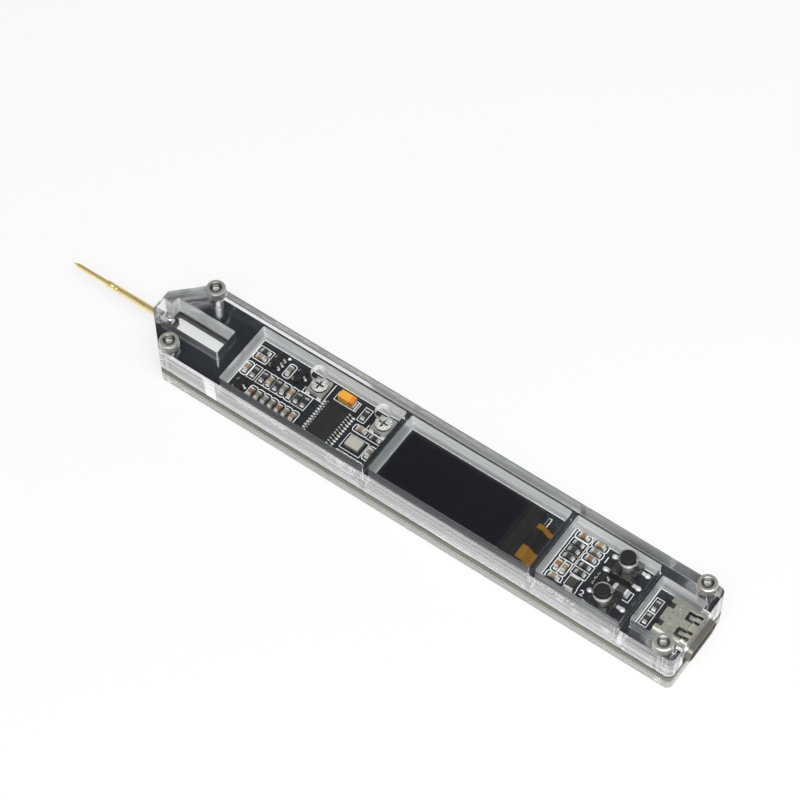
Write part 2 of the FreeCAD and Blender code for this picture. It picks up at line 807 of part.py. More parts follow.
def usb_contacts():
    """Contact strips on both faces of the tongue, and tails soldered behind the shell."""
    first = -contact_pitch * (contacts_per_row - 1) / 2
    strip_x0 = shell_x0 + insert_setback + insert_depth
    pieces = []
    for i in range(contacts_per_row):
        y = first + i * contact_pitch
        for z in (shell_z + tongue_thickness / 2, shell_z - tongue_thickness / 2 - contact_thickness):
            pieces.append(span(strip_x0, strip_x0 + contact_length, y - contact_width / 2,
                               y + contact_width / 2, z, z + contact_thickness))
        pieces.append(span(shell_x0 - contact_tail, shell_x0, y - contact_width / 2, y + contact_width / 2,
                           board_top, board_top + contact_tail_thickness))
    return Part.makeCompound(pieces)


def build():
    """All pieces by node name."""
    nodes = {
        "top_cover": top_cover(),
        "circuit_board": circuit_board(),
        "bottom_plate": bottom_plate(),
        "case_screws": Part.makeCompound([case_screw(x, y) for x, y in screw_places]),
        "probe_barrel": probe_barrel(),
        "probe_plunger": probe_plunger(),
        "probe_spring": probe_spring(),
        "probe_solder": probe_solder(),
        "usb_shell": usb_shell(),
        "usb_insert": usb_insert(),
        "usb_contacts": usb_contacts(),
    }
    for group in (display_parts(), controller_parts(), transistor_parts(), oscillator_parts(),
                  tantalum_parts(), chip_parts(), power_parts()):
        nodes.update(group)
    for name in trimmer_places:
        nodes.update(trimmer_parts(name))
    for name in key_places:
        nodes.update(key_parts(name))
    return nodes


os.makedirs("parts", exist_ok=True)
for node, shape in build().items():
    shape.exportStep("parts/" + node + ".step")
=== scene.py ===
"""Looks for a pen-shaped bench tester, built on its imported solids.

Clear case, printed board, screws, spring probe, display, chips, trimmers, keys and socket.
Plain numbers for places and sizes are millimetres, and MM turns them into metres.
"""

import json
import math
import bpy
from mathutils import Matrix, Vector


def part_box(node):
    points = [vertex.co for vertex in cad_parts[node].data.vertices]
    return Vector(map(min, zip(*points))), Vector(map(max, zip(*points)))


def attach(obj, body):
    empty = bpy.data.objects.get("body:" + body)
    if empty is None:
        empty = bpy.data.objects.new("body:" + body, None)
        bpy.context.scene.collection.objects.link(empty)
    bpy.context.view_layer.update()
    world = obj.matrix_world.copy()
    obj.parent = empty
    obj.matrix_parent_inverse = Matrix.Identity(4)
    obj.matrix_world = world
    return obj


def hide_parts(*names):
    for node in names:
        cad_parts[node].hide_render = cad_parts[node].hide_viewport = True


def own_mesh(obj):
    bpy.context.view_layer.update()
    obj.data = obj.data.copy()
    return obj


bl_info = {
    "name": "Pen Tester Looks",
    "version": (1, 0, 0),
    "blender": (4, 5, 0),
    "location": "3D View > Sidebar > Pen Tester",
    "description": "Dresses the solids of a pen-shaped bench tester with finished pieces and materials",
    "category": "Object",
}

import bmesh
import bpy
from bpy.props import FloatProperty, FloatVectorProperty, IntProperty, PointerProperty
from bpy.types import Operator, Panel, PropertyGroup
from mathutils import Matrix, Vector

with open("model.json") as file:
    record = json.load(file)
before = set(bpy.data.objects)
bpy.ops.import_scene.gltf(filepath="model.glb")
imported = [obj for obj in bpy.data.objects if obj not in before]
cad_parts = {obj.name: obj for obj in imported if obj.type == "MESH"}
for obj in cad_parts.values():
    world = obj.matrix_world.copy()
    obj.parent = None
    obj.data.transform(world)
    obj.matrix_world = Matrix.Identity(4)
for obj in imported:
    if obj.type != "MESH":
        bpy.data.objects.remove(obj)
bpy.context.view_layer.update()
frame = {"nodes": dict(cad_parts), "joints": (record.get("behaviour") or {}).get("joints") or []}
NODES = frame["nodes"]
TRAVEL = {joint["name"]: joint["range_m"][1] for joint in frame["joints"] if joint["type"] == "slide"}
MM = 0.001
# Places this close are one place, in millimetres, and corners of triangles this close one corner, in metres
NEAR = 0.01
SAME_CORNER = 1e-7
# Edges that turn by more than SHARP degrees are sharp, and faces that turn by less than FLAT are one face
SHARP = 35
FLAT = 0.8
# The same limit for turned pieces, for key caps and for wire and solder, in degrees
TURNED_SHARP = 30
CAP_SHARP = 40
ROUND_SHARP = 60
# Share of a direction in a face's normal from which the face looks that way, or lies level
FACING = 0.5
LEVEL = 0.9
ALONG_X = Matrix.Rotation(math.pi / 2, 4, "Y")
CAPACITORS = ("capacitors_tan", "capacitors_grey", "capacitors_brown")


# Places read from the frame

def corners(node):
    """Lowest and highest corner of a node, in millimetres."""
    a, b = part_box(node)
    return a / MM, b / MM


def span_of(points):
    """Lowest and highest corner of some points."""
    return Vector(map(min, zip(*points))), Vector(map(max, zip(*points)))


def joined(node):
    """Copy of a node's mesh with its loose triangles joined."""
    bm = bmesh.new()
    bm.from_mesh(NODES[node].data)
    bmesh.ops.remove_doubles(bm, verts=bm.verts, dist=SAME_CORNER)
    return bm


def merged(node):
    """Joined copy of a node's mesh with its flat faces whole."""
    bm = joined(node)
    bmesh.ops.dissolve_limit(bm, angle_limit=math.radians(FLAT), verts=bm.verts, edges=bm.edges)
    return bm


def islands(node):
    """Low and high corners of each separate solid in a node, in millimetres."""
    bm = joined(node)
    left, boxes = set(bm.verts), []
    while left:
        stack, group = [left.pop()], []
        while stack:
            vert = stack.pop()
            group.append(vert.co / MM)
            linked = {edge.other_vert(vert) for edge in vert.link_edges} & left
            left -= linked
            stack += linked
        boxes.append(span_of(group))
    bm.free()
    return sorted(boxes, key=lambda box: tuple(box[0]))


def outer_ends(ends, *bodies, along_x=False):
    """Box, outer foot and outward turn of each solid at the ends of the bodies that it belongs to."""
    centres = [(a + b) / 2 for node in bodies for a, b in islands(node)]
    found = []
    for a, b in islands(ends):
        middle, half = (a + b) / 2, (b - a) / 2
        out = middle - min(centres, key=lambda centre: (centre - middle).length)
        if along_x or abs(out.x) > abs(out.y):
            sign = math.copysign(1, out.x)
            point, turn = (middle.x + sign * half.x, middle.y, BOARD_TOP), 0 if sign > 0 else math.pi
        else:
            sign = math.copysign(1, out.y)
            point, turn = (middle.x, middle.y + sign * half.y, BOARD_TOP), sign * math.pi / 2
        found.append((a, b, point, turn))
    return found


def pockets():
    """Height of the ceilings in the cover, and the corners of each pocket under them, from nose to rear."""
    bm = merged("top_cover")
    below = [face for face in bm.faces if face.normal.z < -LEVEL]
    ceiling = max(face.verts[0].co.z for face in below) / MM
    spans = [span_of([vert.co / MM for vert in face.verts]) for face in below
             if abs(face.verts[0].co.z / MM - ceiling) < NEAR]
    bm.free()
    found = []
    for a, b in sorted(spans, key=lambda span: span[0].x):
        if found and a.x < found[-1][1].x:
            found[-1] = span_of([*found[-1], a, b])
        else:
            found.append((a, b))
    return ceiling, found


BOARD_TOP = corners("circuit_board")[1].z
COVER_TOP = corners("top_cover")[1].z
NOSE_X = corners("bottom_plate")[0].x
END_X, BODY_HALF, PLATE_TOP = corners("bottom_plate")[1]
CEILING, POCKETS = pockets()
SCREWS = islands("case_screws")
SCREW_PLACES = [((a.x + b.x) / 2, (a.y + b.y) / 2) for a, b in SCREWS]


# Settings

def colour(name, default, description):
    """Colour property."""
    return FloatVectorProperty(name=name, description=description, default=default, size=3, min=0, max=1,
                               subtype="COLOR")


def length(name, default, description):
    """Length property, with its default in millimetres."""
    return FloatProperty(name=name, description=description, default=default * MM, unit="LENGTH", precision=5)


def amount(name, default, description, **more):
    """Number property that is never negative."""
    return FloatProperty(name=name, description=description, default=default, min=0, **more)


class CaseSettings(PropertyGroup):
    edge: length("Eased edge", 0.3, "Width of the eased edges of the clear plates")
    air_gap: length("Air gap", 0.04, "Gap between the clear plates and the board")
    tint: colour("Tint", (0.975, 0.99, 0.988), "Colour of the clear sheet")
    milled: colour("Milled wall", (0.945, 0.96, 0.965), "Colour of the milled pocket walls")
    sawn: colour("Plate edge", (0.95, 0.955, 0.93), "Colour of the base plate's cut edge")


class BoardSettings(PropertyGroup):
    mask: colour("Solder mask", (0.0070, 0.0090, 0.0125), "Colour of the lacquer on the board")
    laminate: colour("Laminate", (0.145, 0.150, 0.110), "Colour of the board's cut edge")
    ink: colour("Ink", (0.90, 0.91, 0.90), "Colour of the printed lines")
    ink_width: length("Line width", 0.17, "Width of the printed lines")
    ink_height: length("Ink height", 0.02, "Height of the printed lines")
    track_width: length("Track width", 0.22, "Width of the tracks under the lacquer")
    track_height: length("Track height", 0.016, "Height of the tracks under the lacquer")


class MetalSettings(PropertyGroup):
    steel: colour("Steel", (0.58, 0.57, 0.54), "Colour of screws and stamped sheet")
    gold: colour("Gold", (0.94, 0.75, 0.36), "Colour of the gold plate")
    tin: colour("Tin", (0.78, 0.78, 0.76), "Colour of solder and tinned leads")
    knurls: IntProperty(name="Knurls", description="Ridges round each screw head", default=40, min=12, max=80)
    knurl_depth: length("Knurl depth", 0.09, "Depth of the ridges on the screw heads")
    thread_pitch: length("Thread pitch", 0.4, "Pitch of the screw threads")
    thread_depth: length("Thread depth", 0.2, "Depth of the screw threads")
    spring_wire: length("Spring wire", 0.1, "Radius of the wire of the probe's spring")


class ChipSettings(PropertyGroup):
    edge: length("Eased edge", 0.05, "Width of the eased edges of small parts")
    moulding: colour("Moulding", (0.013, 0.0125, 0.012), "Colour of moulded black bodies")
    tantalum: colour("Tantalum", (0.87, 0.40, 0.035), "Colour of the moulded capacitor")
    tan: colour("Tan", (0.33, 0.235, 0.135), "Colour of the tan capacitors")
    grey: colour("Grey", (0.215, 0.195, 0.160), "Colour of the grey capacitors")
    brown: colour("Brown", (0.27, 0.13, 0.06), "Colour of the brown capacitors")
    flex: colour("Flex", (0.19, 0.082, 0.006), "Colour of the display's flex tail")
    panel: colour("Panel", (0.0016, 0.0020, 0.0050), "Colour of the display's face")


class KeySettings(PropertyGroup):
    radius: length("Cap radius", 1.4, "Radius of a key cap")
    flange: length("Flange", 0.4, "Height of the flange under a key cap")
    rounding: length("Cap rounding", 0.22, "Radius of the rounded edge of a key cap")
    legend: length("Legend height", 1.5, "Height of the printed number beside each key")


class StageSettings(PropertyGroup):
    floor: colour("Floor", (0.88, 0.88, 0.87), "Colour of the floor")
    glow: amount("Glow", 0.92, "Brightness of the floor to the eye, where 1 is white")
    share: amount("Glow share", 0.8, "How far the glow hides the floor's own shading")
    lamp: amount("Main lamp", 4.1, "Power of the main lamp", unit="POWER")
    sky: amount("Horizon", 1.0, "Strength of the light from the horizon")
    ceiling: amount("Ceiling", 0.11, "Strength of the light from above")
    distance: length("Camera distance", 565.2, "Distance from the camera to the point it looks at")
    lens: amount("Lens", 139.45, "Focal length of the camera, in millimetres")


# Pieces

def add_piece(name, data):
    """New object at the origin for a mesh that already lies in place."""
    piece = bpy.data.objects.new(name, data)
    bpy.context.scene.collection.objects.link(piece)
    return piece


def piece_from(bm, name, *looks):
    """Piece with these looks from a bmesh, which is freed."""
    mesh = bpy.data.meshes.new(name)
    bm.to_mesh(mesh)
    bm.free()
    for look in looks:
        mesh.materials.append(look)
    return add_piece(name, mesh)


def shell(bm, name, *looks):
    """Piece from a closed bmesh, with its seams merged and its faces turned outwards."""
    bmesh.ops.remove_doubles(bm, verts=bm.verts, dist=SAME_CORNER)
    bmesh.ops.recalc_face_normals(bm, faces=bm.faces)
    return piece_from(bm, name, *looks)


def baked(piece):
    """Plain mesh of a piece with its modifiers done."""
    graph = bpy.context.evaluated_depsgraph_get()
    return bpy.data.meshes.new_from_object(piece.evaluated_get(graph), depsgraph=graph)


def flatten(piece):
    """Turn a piece and its modifiers into a plain mesh."""
    mesh = baked(piece)
    piece.modifiers.clear()
    piece.data = mesh
    return piece


def smooth(piece, degrees=SHARP):
    """Smooth shading with sharp edges past an angle."""
    piece.data.shade_smooth()
    piece.data.set_sharp_from_angle(angle=math.radians(degrees))
    return piece


def ease(piece, width, segments=2, slot=-1, limit="ANGLE"):
    """Round off the sharp or the marked edges of a piece and keep its flat faces flat."""
    smooth(piece)
    bevel = piece.modifiers.new("Eased edges", "BEVEL")
    bevel.width = width
    bevel.segments = segments
    bevel.limit_method = limit
    bevel.angle_limit = math.radians(SHARP)
    bevel.harden_normals = True
    bevel.material = slot
    return flatten(piece)


def settle(piece, body, slot, *nodes):
    """Fix a piece to its body and hide the nodes that it stands for; the slot is not used."""
    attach(piece, body)
    if nodes:
        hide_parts(*nodes)
    return piece


def softened(node, look, slot, width):
    """Piece with eased edges in place of a node of the case."""
    piece = ease(piece_from(merged(node), node + "_piece", look), width)
    return settle(piece, "case", slot, node)


def squeeze(piece):
    """Give a springy piece its own copy of its mesh."""
    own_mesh(piece)


# Turned and wound shapes

def ring(count):
    """Angles spaced evenly round a circle."""
    return [2 * math.pi * i / count for i in range(count)]


def loop(bm, points):
    """Row of points of a bmesh, from millimetres."""
    return [bm.verts.new(Vector(point) * MM) for point in points]


def skin(bm, rows, *caps):
    """Bands of faces from ring to ring of points, where a ring of one point is a pole, and flat caps."""
    bands = []
    for lower, upper in zip(rows, rows[1:]):
        count = max(len(lower), len(upper))
        band = []
        for i in range(count):
            j = (i + 1) % count
            face = (lower[i % len(lower)], lower[j % len(lower)],
                    upper[j % len(upper)], upper[i % len(upper)])
            unique = list(dict.fromkeys(face))
            if len(unique) > 2:
                band.append(bm.faces.new(unique))
        bands.append(band)
    for row in caps:
        bm.faces.new(row)
    return bands


def lathe(name, profile, place, *looks, along_x=False, segments=48):
    """Closed turned shape from (radius, height) points, in millimetres, bottom to top."""
    bm = bmesh.new()
    rows = []
    for radius, height in profile:
        angles = ring(segments) if radius > NEAR * NEAR else [0]
        rows.append(loop(bm, [(radius * math.cos(t), radius * math.sin(t), height) for t in angles]))
    skin(bm, rows)
    turn = ALONG_X if along_x else Matrix.Identity(4)
    bmesh.ops.transform(bm, matrix=Matrix.Translation(Vector(place) * MM) @ turn, verts=bm.verts)
    return shell(bm, name, *looks)


def arc(centre_r, centre_h, radius, start, stop, steps=6):
    """Profile points along an arc, angles in degrees from the outward direction."""
    angles = [math.radians(start + (stop - start) * i / steps) for i in range(steps + 1)]
    return [(centre_r + radius * math.cos(a), centre_h + radius * math.sin(a)) for a in angles]


# Nodes

class Nodes:
    """Tree of nodes that are set up and joined by their sockets' names."""

    def __init__(self, tree):
        self.tree = tree
        tree.nodes.clear()

    def node(self, kind, inputs=None, **settings):
        """New node, with each input set to a value or linked to a socket."""
        node = self.tree.nodes.new(kind)
        for key, value in settings.items():
            setattr(node, key, value)
        for key, value in (inputs or {}).items():
            socket = node.inputs[key]
            if isinstance(value, bpy.types.NodeSocket):
                self.tree.links.new(value, socket)
            elif socket.type == "RGBA":
                socket.default_value = (*value, 1.0)
            else:
                socket.default_value = value
        return node

    def make(self, kind, inputs=None, output=0, **settings):
        """One output of a new node."""
        return self.node(kind, inputs, **settings).outputs[output]

    def span(self, value, start, stop, from_low=0.25, from_high=0.75):
        """Spread a value between two limits."""
        limits = {"From Min": from_low, "From Max": from_high, "To Min": start, "To Max": stop}
        return self.make("ShaderNodeMapRange", {"Value": value, **limits})


class Finish(Nodes):
    """Material made of nodes that read the piece's own coordinates."""

    def __init__(self, name):
        self.material = bpy.data.materials.new(name)
        self.material.use_nodes = True
        super().__init__(self.material.node_tree)
        self.spot = self.make("ShaderNodeTexCoord", output="Object")

    def noise(self, scale, detail=3.0, stretch=(1, 1, 1)):
        """Noise with this many grains to a millimetre."""
        place = self.make("ShaderNodeMapping", {"Vector": self.spot, "Scale": stretch})
        inputs = {"Vector": place, "Scale": scale / MM, "Detail": detail, "Roughness": 0.6}
        return self.make("ShaderNodeTexNoise", inputs)

    def axis(self, name):
        """One of the piece's own coordinates in metres."""
        return self.make("ShaderNodeSeparateXYZ", {0: self.spot}, name)

    def math(self, operation, first, second):
        return self.make("ShaderNodeMath", {0: first, 1: second}, operation=operation)

    def past(self, axis, start):
        """1 beyond a place in millimetres, and 0 before it."""
        return self.math("GREATER_THAN", self.axis(axis), start * MM)

    def between(self, axis, start, stop):
        """1 between two places in millimetres, and 0 outside them."""
        before = self.math("LESS_THAN", self.axis(axis), stop * MM)
        return self.math("MULTIPLY", self.past(axis, start), before)

    def blend(self, share, first, second):
        """Mix two colours."""
        return self.make("ShaderNodeMix", {0: share, 6: first, 7: second}, 2, data_type="RGBA")

    def mottled(self, marks, tone, dark, light, *limits):
        """Colour that wanders with the marks between a darker and a lighter tone."""
        return self.blend(self.span(marks, 0, 1, *limits), shade(tone, dark), shade(tone, light))

    def bump(self, height, strength, depth):
        """Normal from a height, with the depth in millimetres."""
        return self.make("ShaderNodeBump", {"Strength": strength, "Distance": depth * MM, "Height": height})

    def shader(self, **inputs):
        names = {key.replace("_", " ").title().replace("Ior", "IOR"): value for key, value in inputs.items()}
        return self.make("ShaderNodeBsdfPrincipled", names)

    def done(self, shader):
        self.node("ShaderNodeOutputMaterial", {"Surface": shader})
        return self.material

    def surface(self, tones, marks, rough, bump, depth=0.02, relief=None, **more):
        """Finished material whose gloss follows the marks, and its bump the relief or the marks again."""
        normal = self.bump(relief or marks, bump, depth)
        gloss = self.span(marks, *rough)
        return self.done(self.shader(base_color=tones, roughness=gloss, normal=normal, **more))

    def lit_through(self, shader, veil):
        """Finished material of a clear shader that lets lamps shine through."""
        veil = self.make("ShaderNodeBsdfTransparent", {"Color": veil})
        path = self.make("ShaderNodeLightPath", output="Is Shadow Ray")
        return self.done(self.make("ShaderNodeMixShader", {0: path, 1: shader, 2: veil}))


class Tree(Nodes):
    """Group of geometry nodes with named inputs."""

    def __init__(self, name, *sizes, **others):
        self.group = bpy.data.node_groups.new(name, "GeometryNodeTree")
        super().__init__(self.group)
        inputs = {"Geometry": "Geometry", **dict.fromkeys(sizes, "Float"), **others, "Material": "Material"}
        new_socket = self.group.interface.new_socket
        self.sockets = {key: new_socket(key, in_out="INPUT", socket_type="NodeSocket" + kind).identifier
                        for key, kind in inputs.items()}
        new_socket("Geometry", in_out="OUTPUT", socket_type="NodeSocketGeometry")
        self.given = self.node("NodeGroupInput").outputs

    def finish(self, geometry):
        """End the tree with realised instances and their material."""
        whole = self.make("GeometryNodeRealizeInstances", {0: geometry})
        painted = self.make("GeometryNodeSetMaterial", {0: whole, "Material": self.given["Material"]})
        self.node("NodeGroupOutput", {0: painted})
        return self

    def run(self, piece, **values):
        """Run the tree on a piece and keep the result as a plain mesh."""
        modifier = piece.modifiers.new(self.group.name, "NODES")
        modifier.node_group = self.group
        for name, value in values.items():
            modifier[self.sockets[name.capitalize()]] = value
        return flatten(piece)


def strip_tree():
    """Flat strips along the edges of a mesh."""
    tree = Tree("Printed strips", "Width", "Height")
    path = tree.make("GeometryNodeMeshToCurve", {0: tree.given["Geometry"]})
    level = tree.make("GeometryNodeSetCurveNormal", {0: path}, mode="Z_UP")
    section = tree.make("GeometryNodeCurvePrimitiveQuadrilateral",
                        {"Width": tree.given["Width"], "Height": tree.given["Height"]})
    return tree.finish(tree.make("GeometryNodeCurveToMesh",
                                 {0: level, "Profile Curve": section, "Fill Caps": True}))


def scatter_tree():
    """One small shape on every point, turned and sized by the point's own values."""
    tree = Tree("Repeated shapes", Shape="Object")
    shape = tree.make("GeometryNodeObjectInfo", {"Object": tree.given["Shape"]}, "Geometry")
    turn = tree.make("GeometryNodeInputNamedAttribute", {"Name": "turn"}, data_type="FLOAT")
    size = tree.make("GeometryNodeInputNamedAttribute", {"Name": "size"}, data_type="FLOAT_VECTOR")
    angles = tree.make("ShaderNodeCombineXYZ", {"Z": turn})
    inputs = {"Points": tree.given["Geometry"], "Instance": shape, "Rotation": angles, "Scale": size}
    return tree.finish(tree.make("GeometryNodeInstanceOnPoints", inputs))


def coil_tree():
    """Round wire wound into a coil along Z."""
    tree = Tree("Coiled wire", "Radius", "Wire", "Length", "Turns")
    radius = tree.given["Radius"]
    path = tree.make("GeometryNodeCurveSpiral", {
        "Resolution": 24, "Rotations": tree.given["Turns"], "Start Radius": radius, "End Radius": radius,
        "Height": tree.given["Length"]})
    section = tree.make("GeometryNodeCurvePrimitiveCircle", {"Resolution": 8, "Radius": tree.given["Wire"]})
    return tree.finish(tree.make("GeometryNodeCurveToMesh",
                                 {0: path, "Profile Curve": section, "Fill Caps": True}))


def strips(name, paths, height, width, thickness, look):
    """Strips along paths of (x, y) points at one height; a path that ends where it began is closed."""
    mesh = bpy.data.meshes.new(name)
    verts, edges = [], []
    for path in paths:
        closed = path[0] == path[-1]
        points = path[:-1] if closed else path
        first = len(verts)
        verts += [(x * MM, y * MM, height) for x, y in points]
        edges += [(first + i, first + i + 1) for i in range(len(points) - 1)]
        if closed:
            edges.append((first + len(points) - 1, first))
    mesh.from_pydata(verts, edges, [])
    piece = add_piece(name, mesh)
    strip_tree().run(piece, width=width, height=thickness, material=look)
    return smooth(piece)


def scatter(name, places, shape, look):
    """Shapes at (point, turn, size) places, with points in millimetres."""
    mesh = bpy.data.meshes.new(name)
    mesh.from_pydata([Vector(point) * MM for point, _, _ in places], [], [])
    turns = mesh.attributes.new("turn", "FLOAT", "POINT")
    sizes = mesh.attributes.new("size", "FLOAT_VECTOR", "POINT")
    for i, (_, turn, size) in enumerate(places):
        turns.data[i].value = turn
        sizes.data[i].vector = size
    piece = add_piece(name, mesh)
    scatter_tree().run(piece, shape=shape, material=look)
    bpy.data.objects.remove(shape)
    return smooth(piece)


# Finishes that several pieces share

def shade(tone, factor):
    """Lighter or darker colour."""
    return tuple(min(1.0, channel * factor) for channel in tone)


def grained(name, tone, rough, grain=4.0, spread=0.12, bump=0.1, depth=0.02, stretch=(1, 1, 1), **more):
    """Finish with mottled colour, uneven gloss and a fine bump."""
    finish = Finish(name)
    tones = finish.mottled(finish.noise(grain, stretch=stretch), tone, 1 - spread, 1 + spread)
    fine = finish.noise(grain * 3.3, stretch=stretch)
    return finish.surface(tones, fine, rough, bump, depth, **more)


def metal(name, tone, rough, **more):
    """Bright metal with fine marks."""
    return grained(name, tone, rough, **{"metallic": 1.0, "grain": 3.0, "spread": 0.07, "bump": 0.02, **more})


def tinned(name, metals):
    """Dull bright tin."""
    return metal(name, metals.tin, (0.22, 0.4), metallic=0.42)


CLEAR_IOR = 1.49


def clear_sheet(settings):
    """Polished clear sheet that lets lamps shine through."""
    finish = Finish("clear_sheet")
    haze = finish.noise(0.08, detail=1)
    shader = finish.shader(base_color=tuple(settings.tint), roughness=finish.span(haze, 0.0, 0.02),
                           transmission_weight=1.0, ior=CLEAR_IOR, normal=finish.bump(haze, 0.02, 0.02))
    return finish.lit_through(shader, (0.97, 0.975, 0.975))


def frosted_sheet(name, tone, rough, clear, lines, top=None):
    """Cut clear sheet with level cutter lines, this clear all over, or as clear as top at its top edge."""
    finish = Finish(name)
    marks = finish.noise(0.75, detail=1, stretch=(0.004, 0.004, 1.0))
    tones = finish.mottled(marks, tone, 0.82, 1.0, 0.38, 0.6)
    if top is not None:
        clear = finish.span(finish.axis("Z"), clear, top, (CEILING - 2) * MM, COVER_TOP * MM)
    clear = finish.math("ADD", clear, finish.span(marks, lines, -lines, 0.36, 0.62))
    shader = finish.shader(base_color=tones, roughness=finish.span(marks, *rough), transmission_weight=clear,
                           ior=CLEAR_IOR, normal=finish.bump(marks, 0.05, 0.01))
    return finish.lit_through(shader, (0.85, 0.86, 0.86))


# Case

# Finishes of the clear plates, in the order of their material slots
CLEAR, MILLED, SAWN, BORED, POLISHED, FAR_SIDE = range(6)
# Share of the eased width of an edge, by whether it lies on the board and whether it is an outer one
EASED_SHARES = {(False, True): 0.6, (False, False): 0.5, (True, True): 0.0, (True, False): 0.3}
# How far the slanted nose, the round rear corners and the screw holes reach
NOSE_REACH = 6.3
CORNER_REACH = 2.0
HOLE_REACH = 1.3


class TESTER_OT_case(Operator):
    """Clear cover and base plate with polished faces and milled pocket walls"""
    bl_idname = "tester.case"
    bl_label = "Clear case"

    def execute(self, context):
        settings = context.scene.tester_case
        milled = settings.milled
        looks = {
            CLEAR: clear_sheet(settings),
            MILLED: frosted_sheet("milled_sheet", milled, (0.15, 0.3), clear=0.45, lines=0.2),
            BORED: frosted_sheet("bored_sheet", milled, (0.2, 0.4), clear=0.25, lines=0.1),
            POLISHED: frosted_sheet("polished_sheet", milled, (0.02, 0.1), clear=0.8, lines=0.15),
            FAR_SIDE: frosted_sheet("sawn_far_side", milled, (0.02, 0.12), clear=0.78, lines=0.16, top=0.28),
        }
        cover_edge = frosted_sheet("sawn_cover", milled, (0.02, 0.12), clear=0.74, lines=0.16, top=0.64)
        plate_edge = frosted_sheet("sawn_plate", settings.sawn, (0.04, 0.16), clear=0.62, lines=0.1)
        gap = settings.air_gap
        for node, meeting, lift, sawn in (("top_cover", BOARD_TOP, gap, cover_edge),
                                          ("bottom_plate", PLATE_TOP, -gap, plate_edge)):
            bm = merged(node)
            for vert in bm.verts:
                if abs(vert.co.z / MM - meeting) < NEAR:
                    vert.co.z += lift
            for face in bm.faces:
                face.material_index = self.cut(face)
            self.mark_edges(bm, meeting * MM + lift)
            looks[SAWN] = sawn
            piece = piece_from(bm, node + "_piece", *(looks[slot] for slot in sorted(looks)))
            ease(piece, settings.edge, slot=BORED, limit="WEIGHT")
            settle(piece, "case", "clear_acrylic", node)
        return {"FINISHED"}

    def mark_edges(self, bm, meeting):
        """Mark the edges to ease: outer ones most, pocket ones less, outer ones on the board not at all."""
        weight = bm.edges.layers.float.new("bevel_weight_edge")
        for edge in bm.edges:
            finishes = {face.material_index for face in edge.link_faces}
            if edge.calc_face_angle(0) > math.radians(SHARP) and BORED not in finishes:
                on_board = all(abs(vert.co.z - meeting) < NEAR * MM for vert in edge.verts)
                edge[weight] = EASED_SHARES[on_board, bool(finishes & {SAWN, FAR_SIDE})]

    def cut(self, face):
        """Finish of a face, from where it lies and the way it looks."""
        normal = face.normal
        if abs(normal.z) > LEVEL:
            return CLEAR
        x, y, z = face.calc_center_median() / MM
        from_side, from_rear, from_nose = BODY_HALF - abs(y), END_X - x, x - NOSE_X
        on_edge = min(from_side, from_rear, from_nose) < NEAR
        nose = from_nose < NOSE_REACH and min(abs(normal.x), abs(normal.y)) > FACING
        corner = max(from_side, from_rear) < CORNER_REACH and normal.x * x + normal.y * y > 0
        mouth = x > POCKETS[-1][1].x - NEAR and from_rear > NEAR and from_side > CORNER_REACH
        if mouth or any(math.dist((x, y), place) < HOLE_REACH for place in SCREW_PLACES):
            return CLEAR
        if all(vert.co.z / MM > CEILING - NEAR for vert in face.verts):
            return BORED
        if on_edge or nose or corner:
            return FAR_SIDE if normal.y > FACING and z > BOARD_TOP else SAWN
        if normal.x - normal.y > FACING:
            return MILLED
        return POLISHED if normal.y > FACING else CLEAR


# Board

# Brackets beside the larger parts: each point is an offset from a low or high corner, first in X, then in Y
LOW, HIGH = 0, 1
TRIMMER_BRACKET = ((HIGH, 0.4, HIGH, 0), (HIGH, 0.4, LOW, 0), (LOW, -0.6, LOW, 0), (LOW, -0.6, LOW, 1.2))
BRACKETS = (
    ("tantalum_terminals", ((HIGH, 0.25, HIGH, 0.4), (HIGH, 0.25, LOW, -0.4))),
    ("trimmer_1_terminals", TRIMMER_BRACKET),
    ("trimmer_2_terminals", TRIMMER_BRACKET),
    ("fuse_end_caps", ((LOW, -0.4, LOW, 0), (LOW, -0.4, HIGH, 0.25), (HIGH, 0.5, HIGH, 0.25),
                       (HIGH, 0.5, LOW, 0))),
    ("diode_end_caps", ((LOW, 0.3, HIGH, 0.2), (LOW, -0.4, HIGH, 0.2), (LOW, -0.4, LOW, -0.2),
                        (LOW, 0.3, LOW, -0.2))),
    ("diode_end_caps", ((HIGH, -0.3, HIGH, 0.2), (HIGH, 0.9, HIGH, 0.2), (HIGH, 0.9, LOW, -0.6),
                        (HIGH, -0.3, LOW, -0.6))),
    ("display_flex", ((HIGH, -3.2, HIGH, 2.4), (HIGH, -2.4, HIGH, 2.4), (HIGH, -2.4, HIGH, 0.1))),
)
# Long tracks: the places in Y that they start from, then points in X with the share of that place
LONG_TRACKS = (
    ((-5.6, -4.4, 5.9), ((-7.6, 1), (-4, 1), (-3.2, 0.92), (24, 0.92), (27, 0.8), (29.2, 0.8))),
    ((-6.2, 6.3), ((-43, 0.7), (-40.5, 0.98), (-20, 0.98), (-9, 1))),
    ((-2.6, -0.4, 1.4), ((44.6, 1), (46.6, 1), (47.2, 0.9), (50.1, 0.9))),
)
DOT_PLACE = (-33.6, 6.0, BOARD_TOP)
BOARD_EDGE = 0.03
# Share of the ink's height at which the middle of a printed line lies
INK_MIDDLE = 0.55


def box_path(a, b, end, side, radius=0.0):
    """Closed outline this far outside two corners, with round corners where a radius is given."""
    x0, x1 = a.x - end, b.x + end
    y0, y1 = a.y - side, b.y + side
    path = []
    for x, y, start in ((x1, y0, -90), (x1, y1, 0), (x0, y1, 90), (x0, y0, 180)):
        if radius:
            middle = (x + (radius if x == x0 else -radius), y + (radius if y == y0 else -radius))
            path += arc(*middle, radius, start, start + 90, 3)
        else:
            path.append((x, y))
    return path + path[:1]


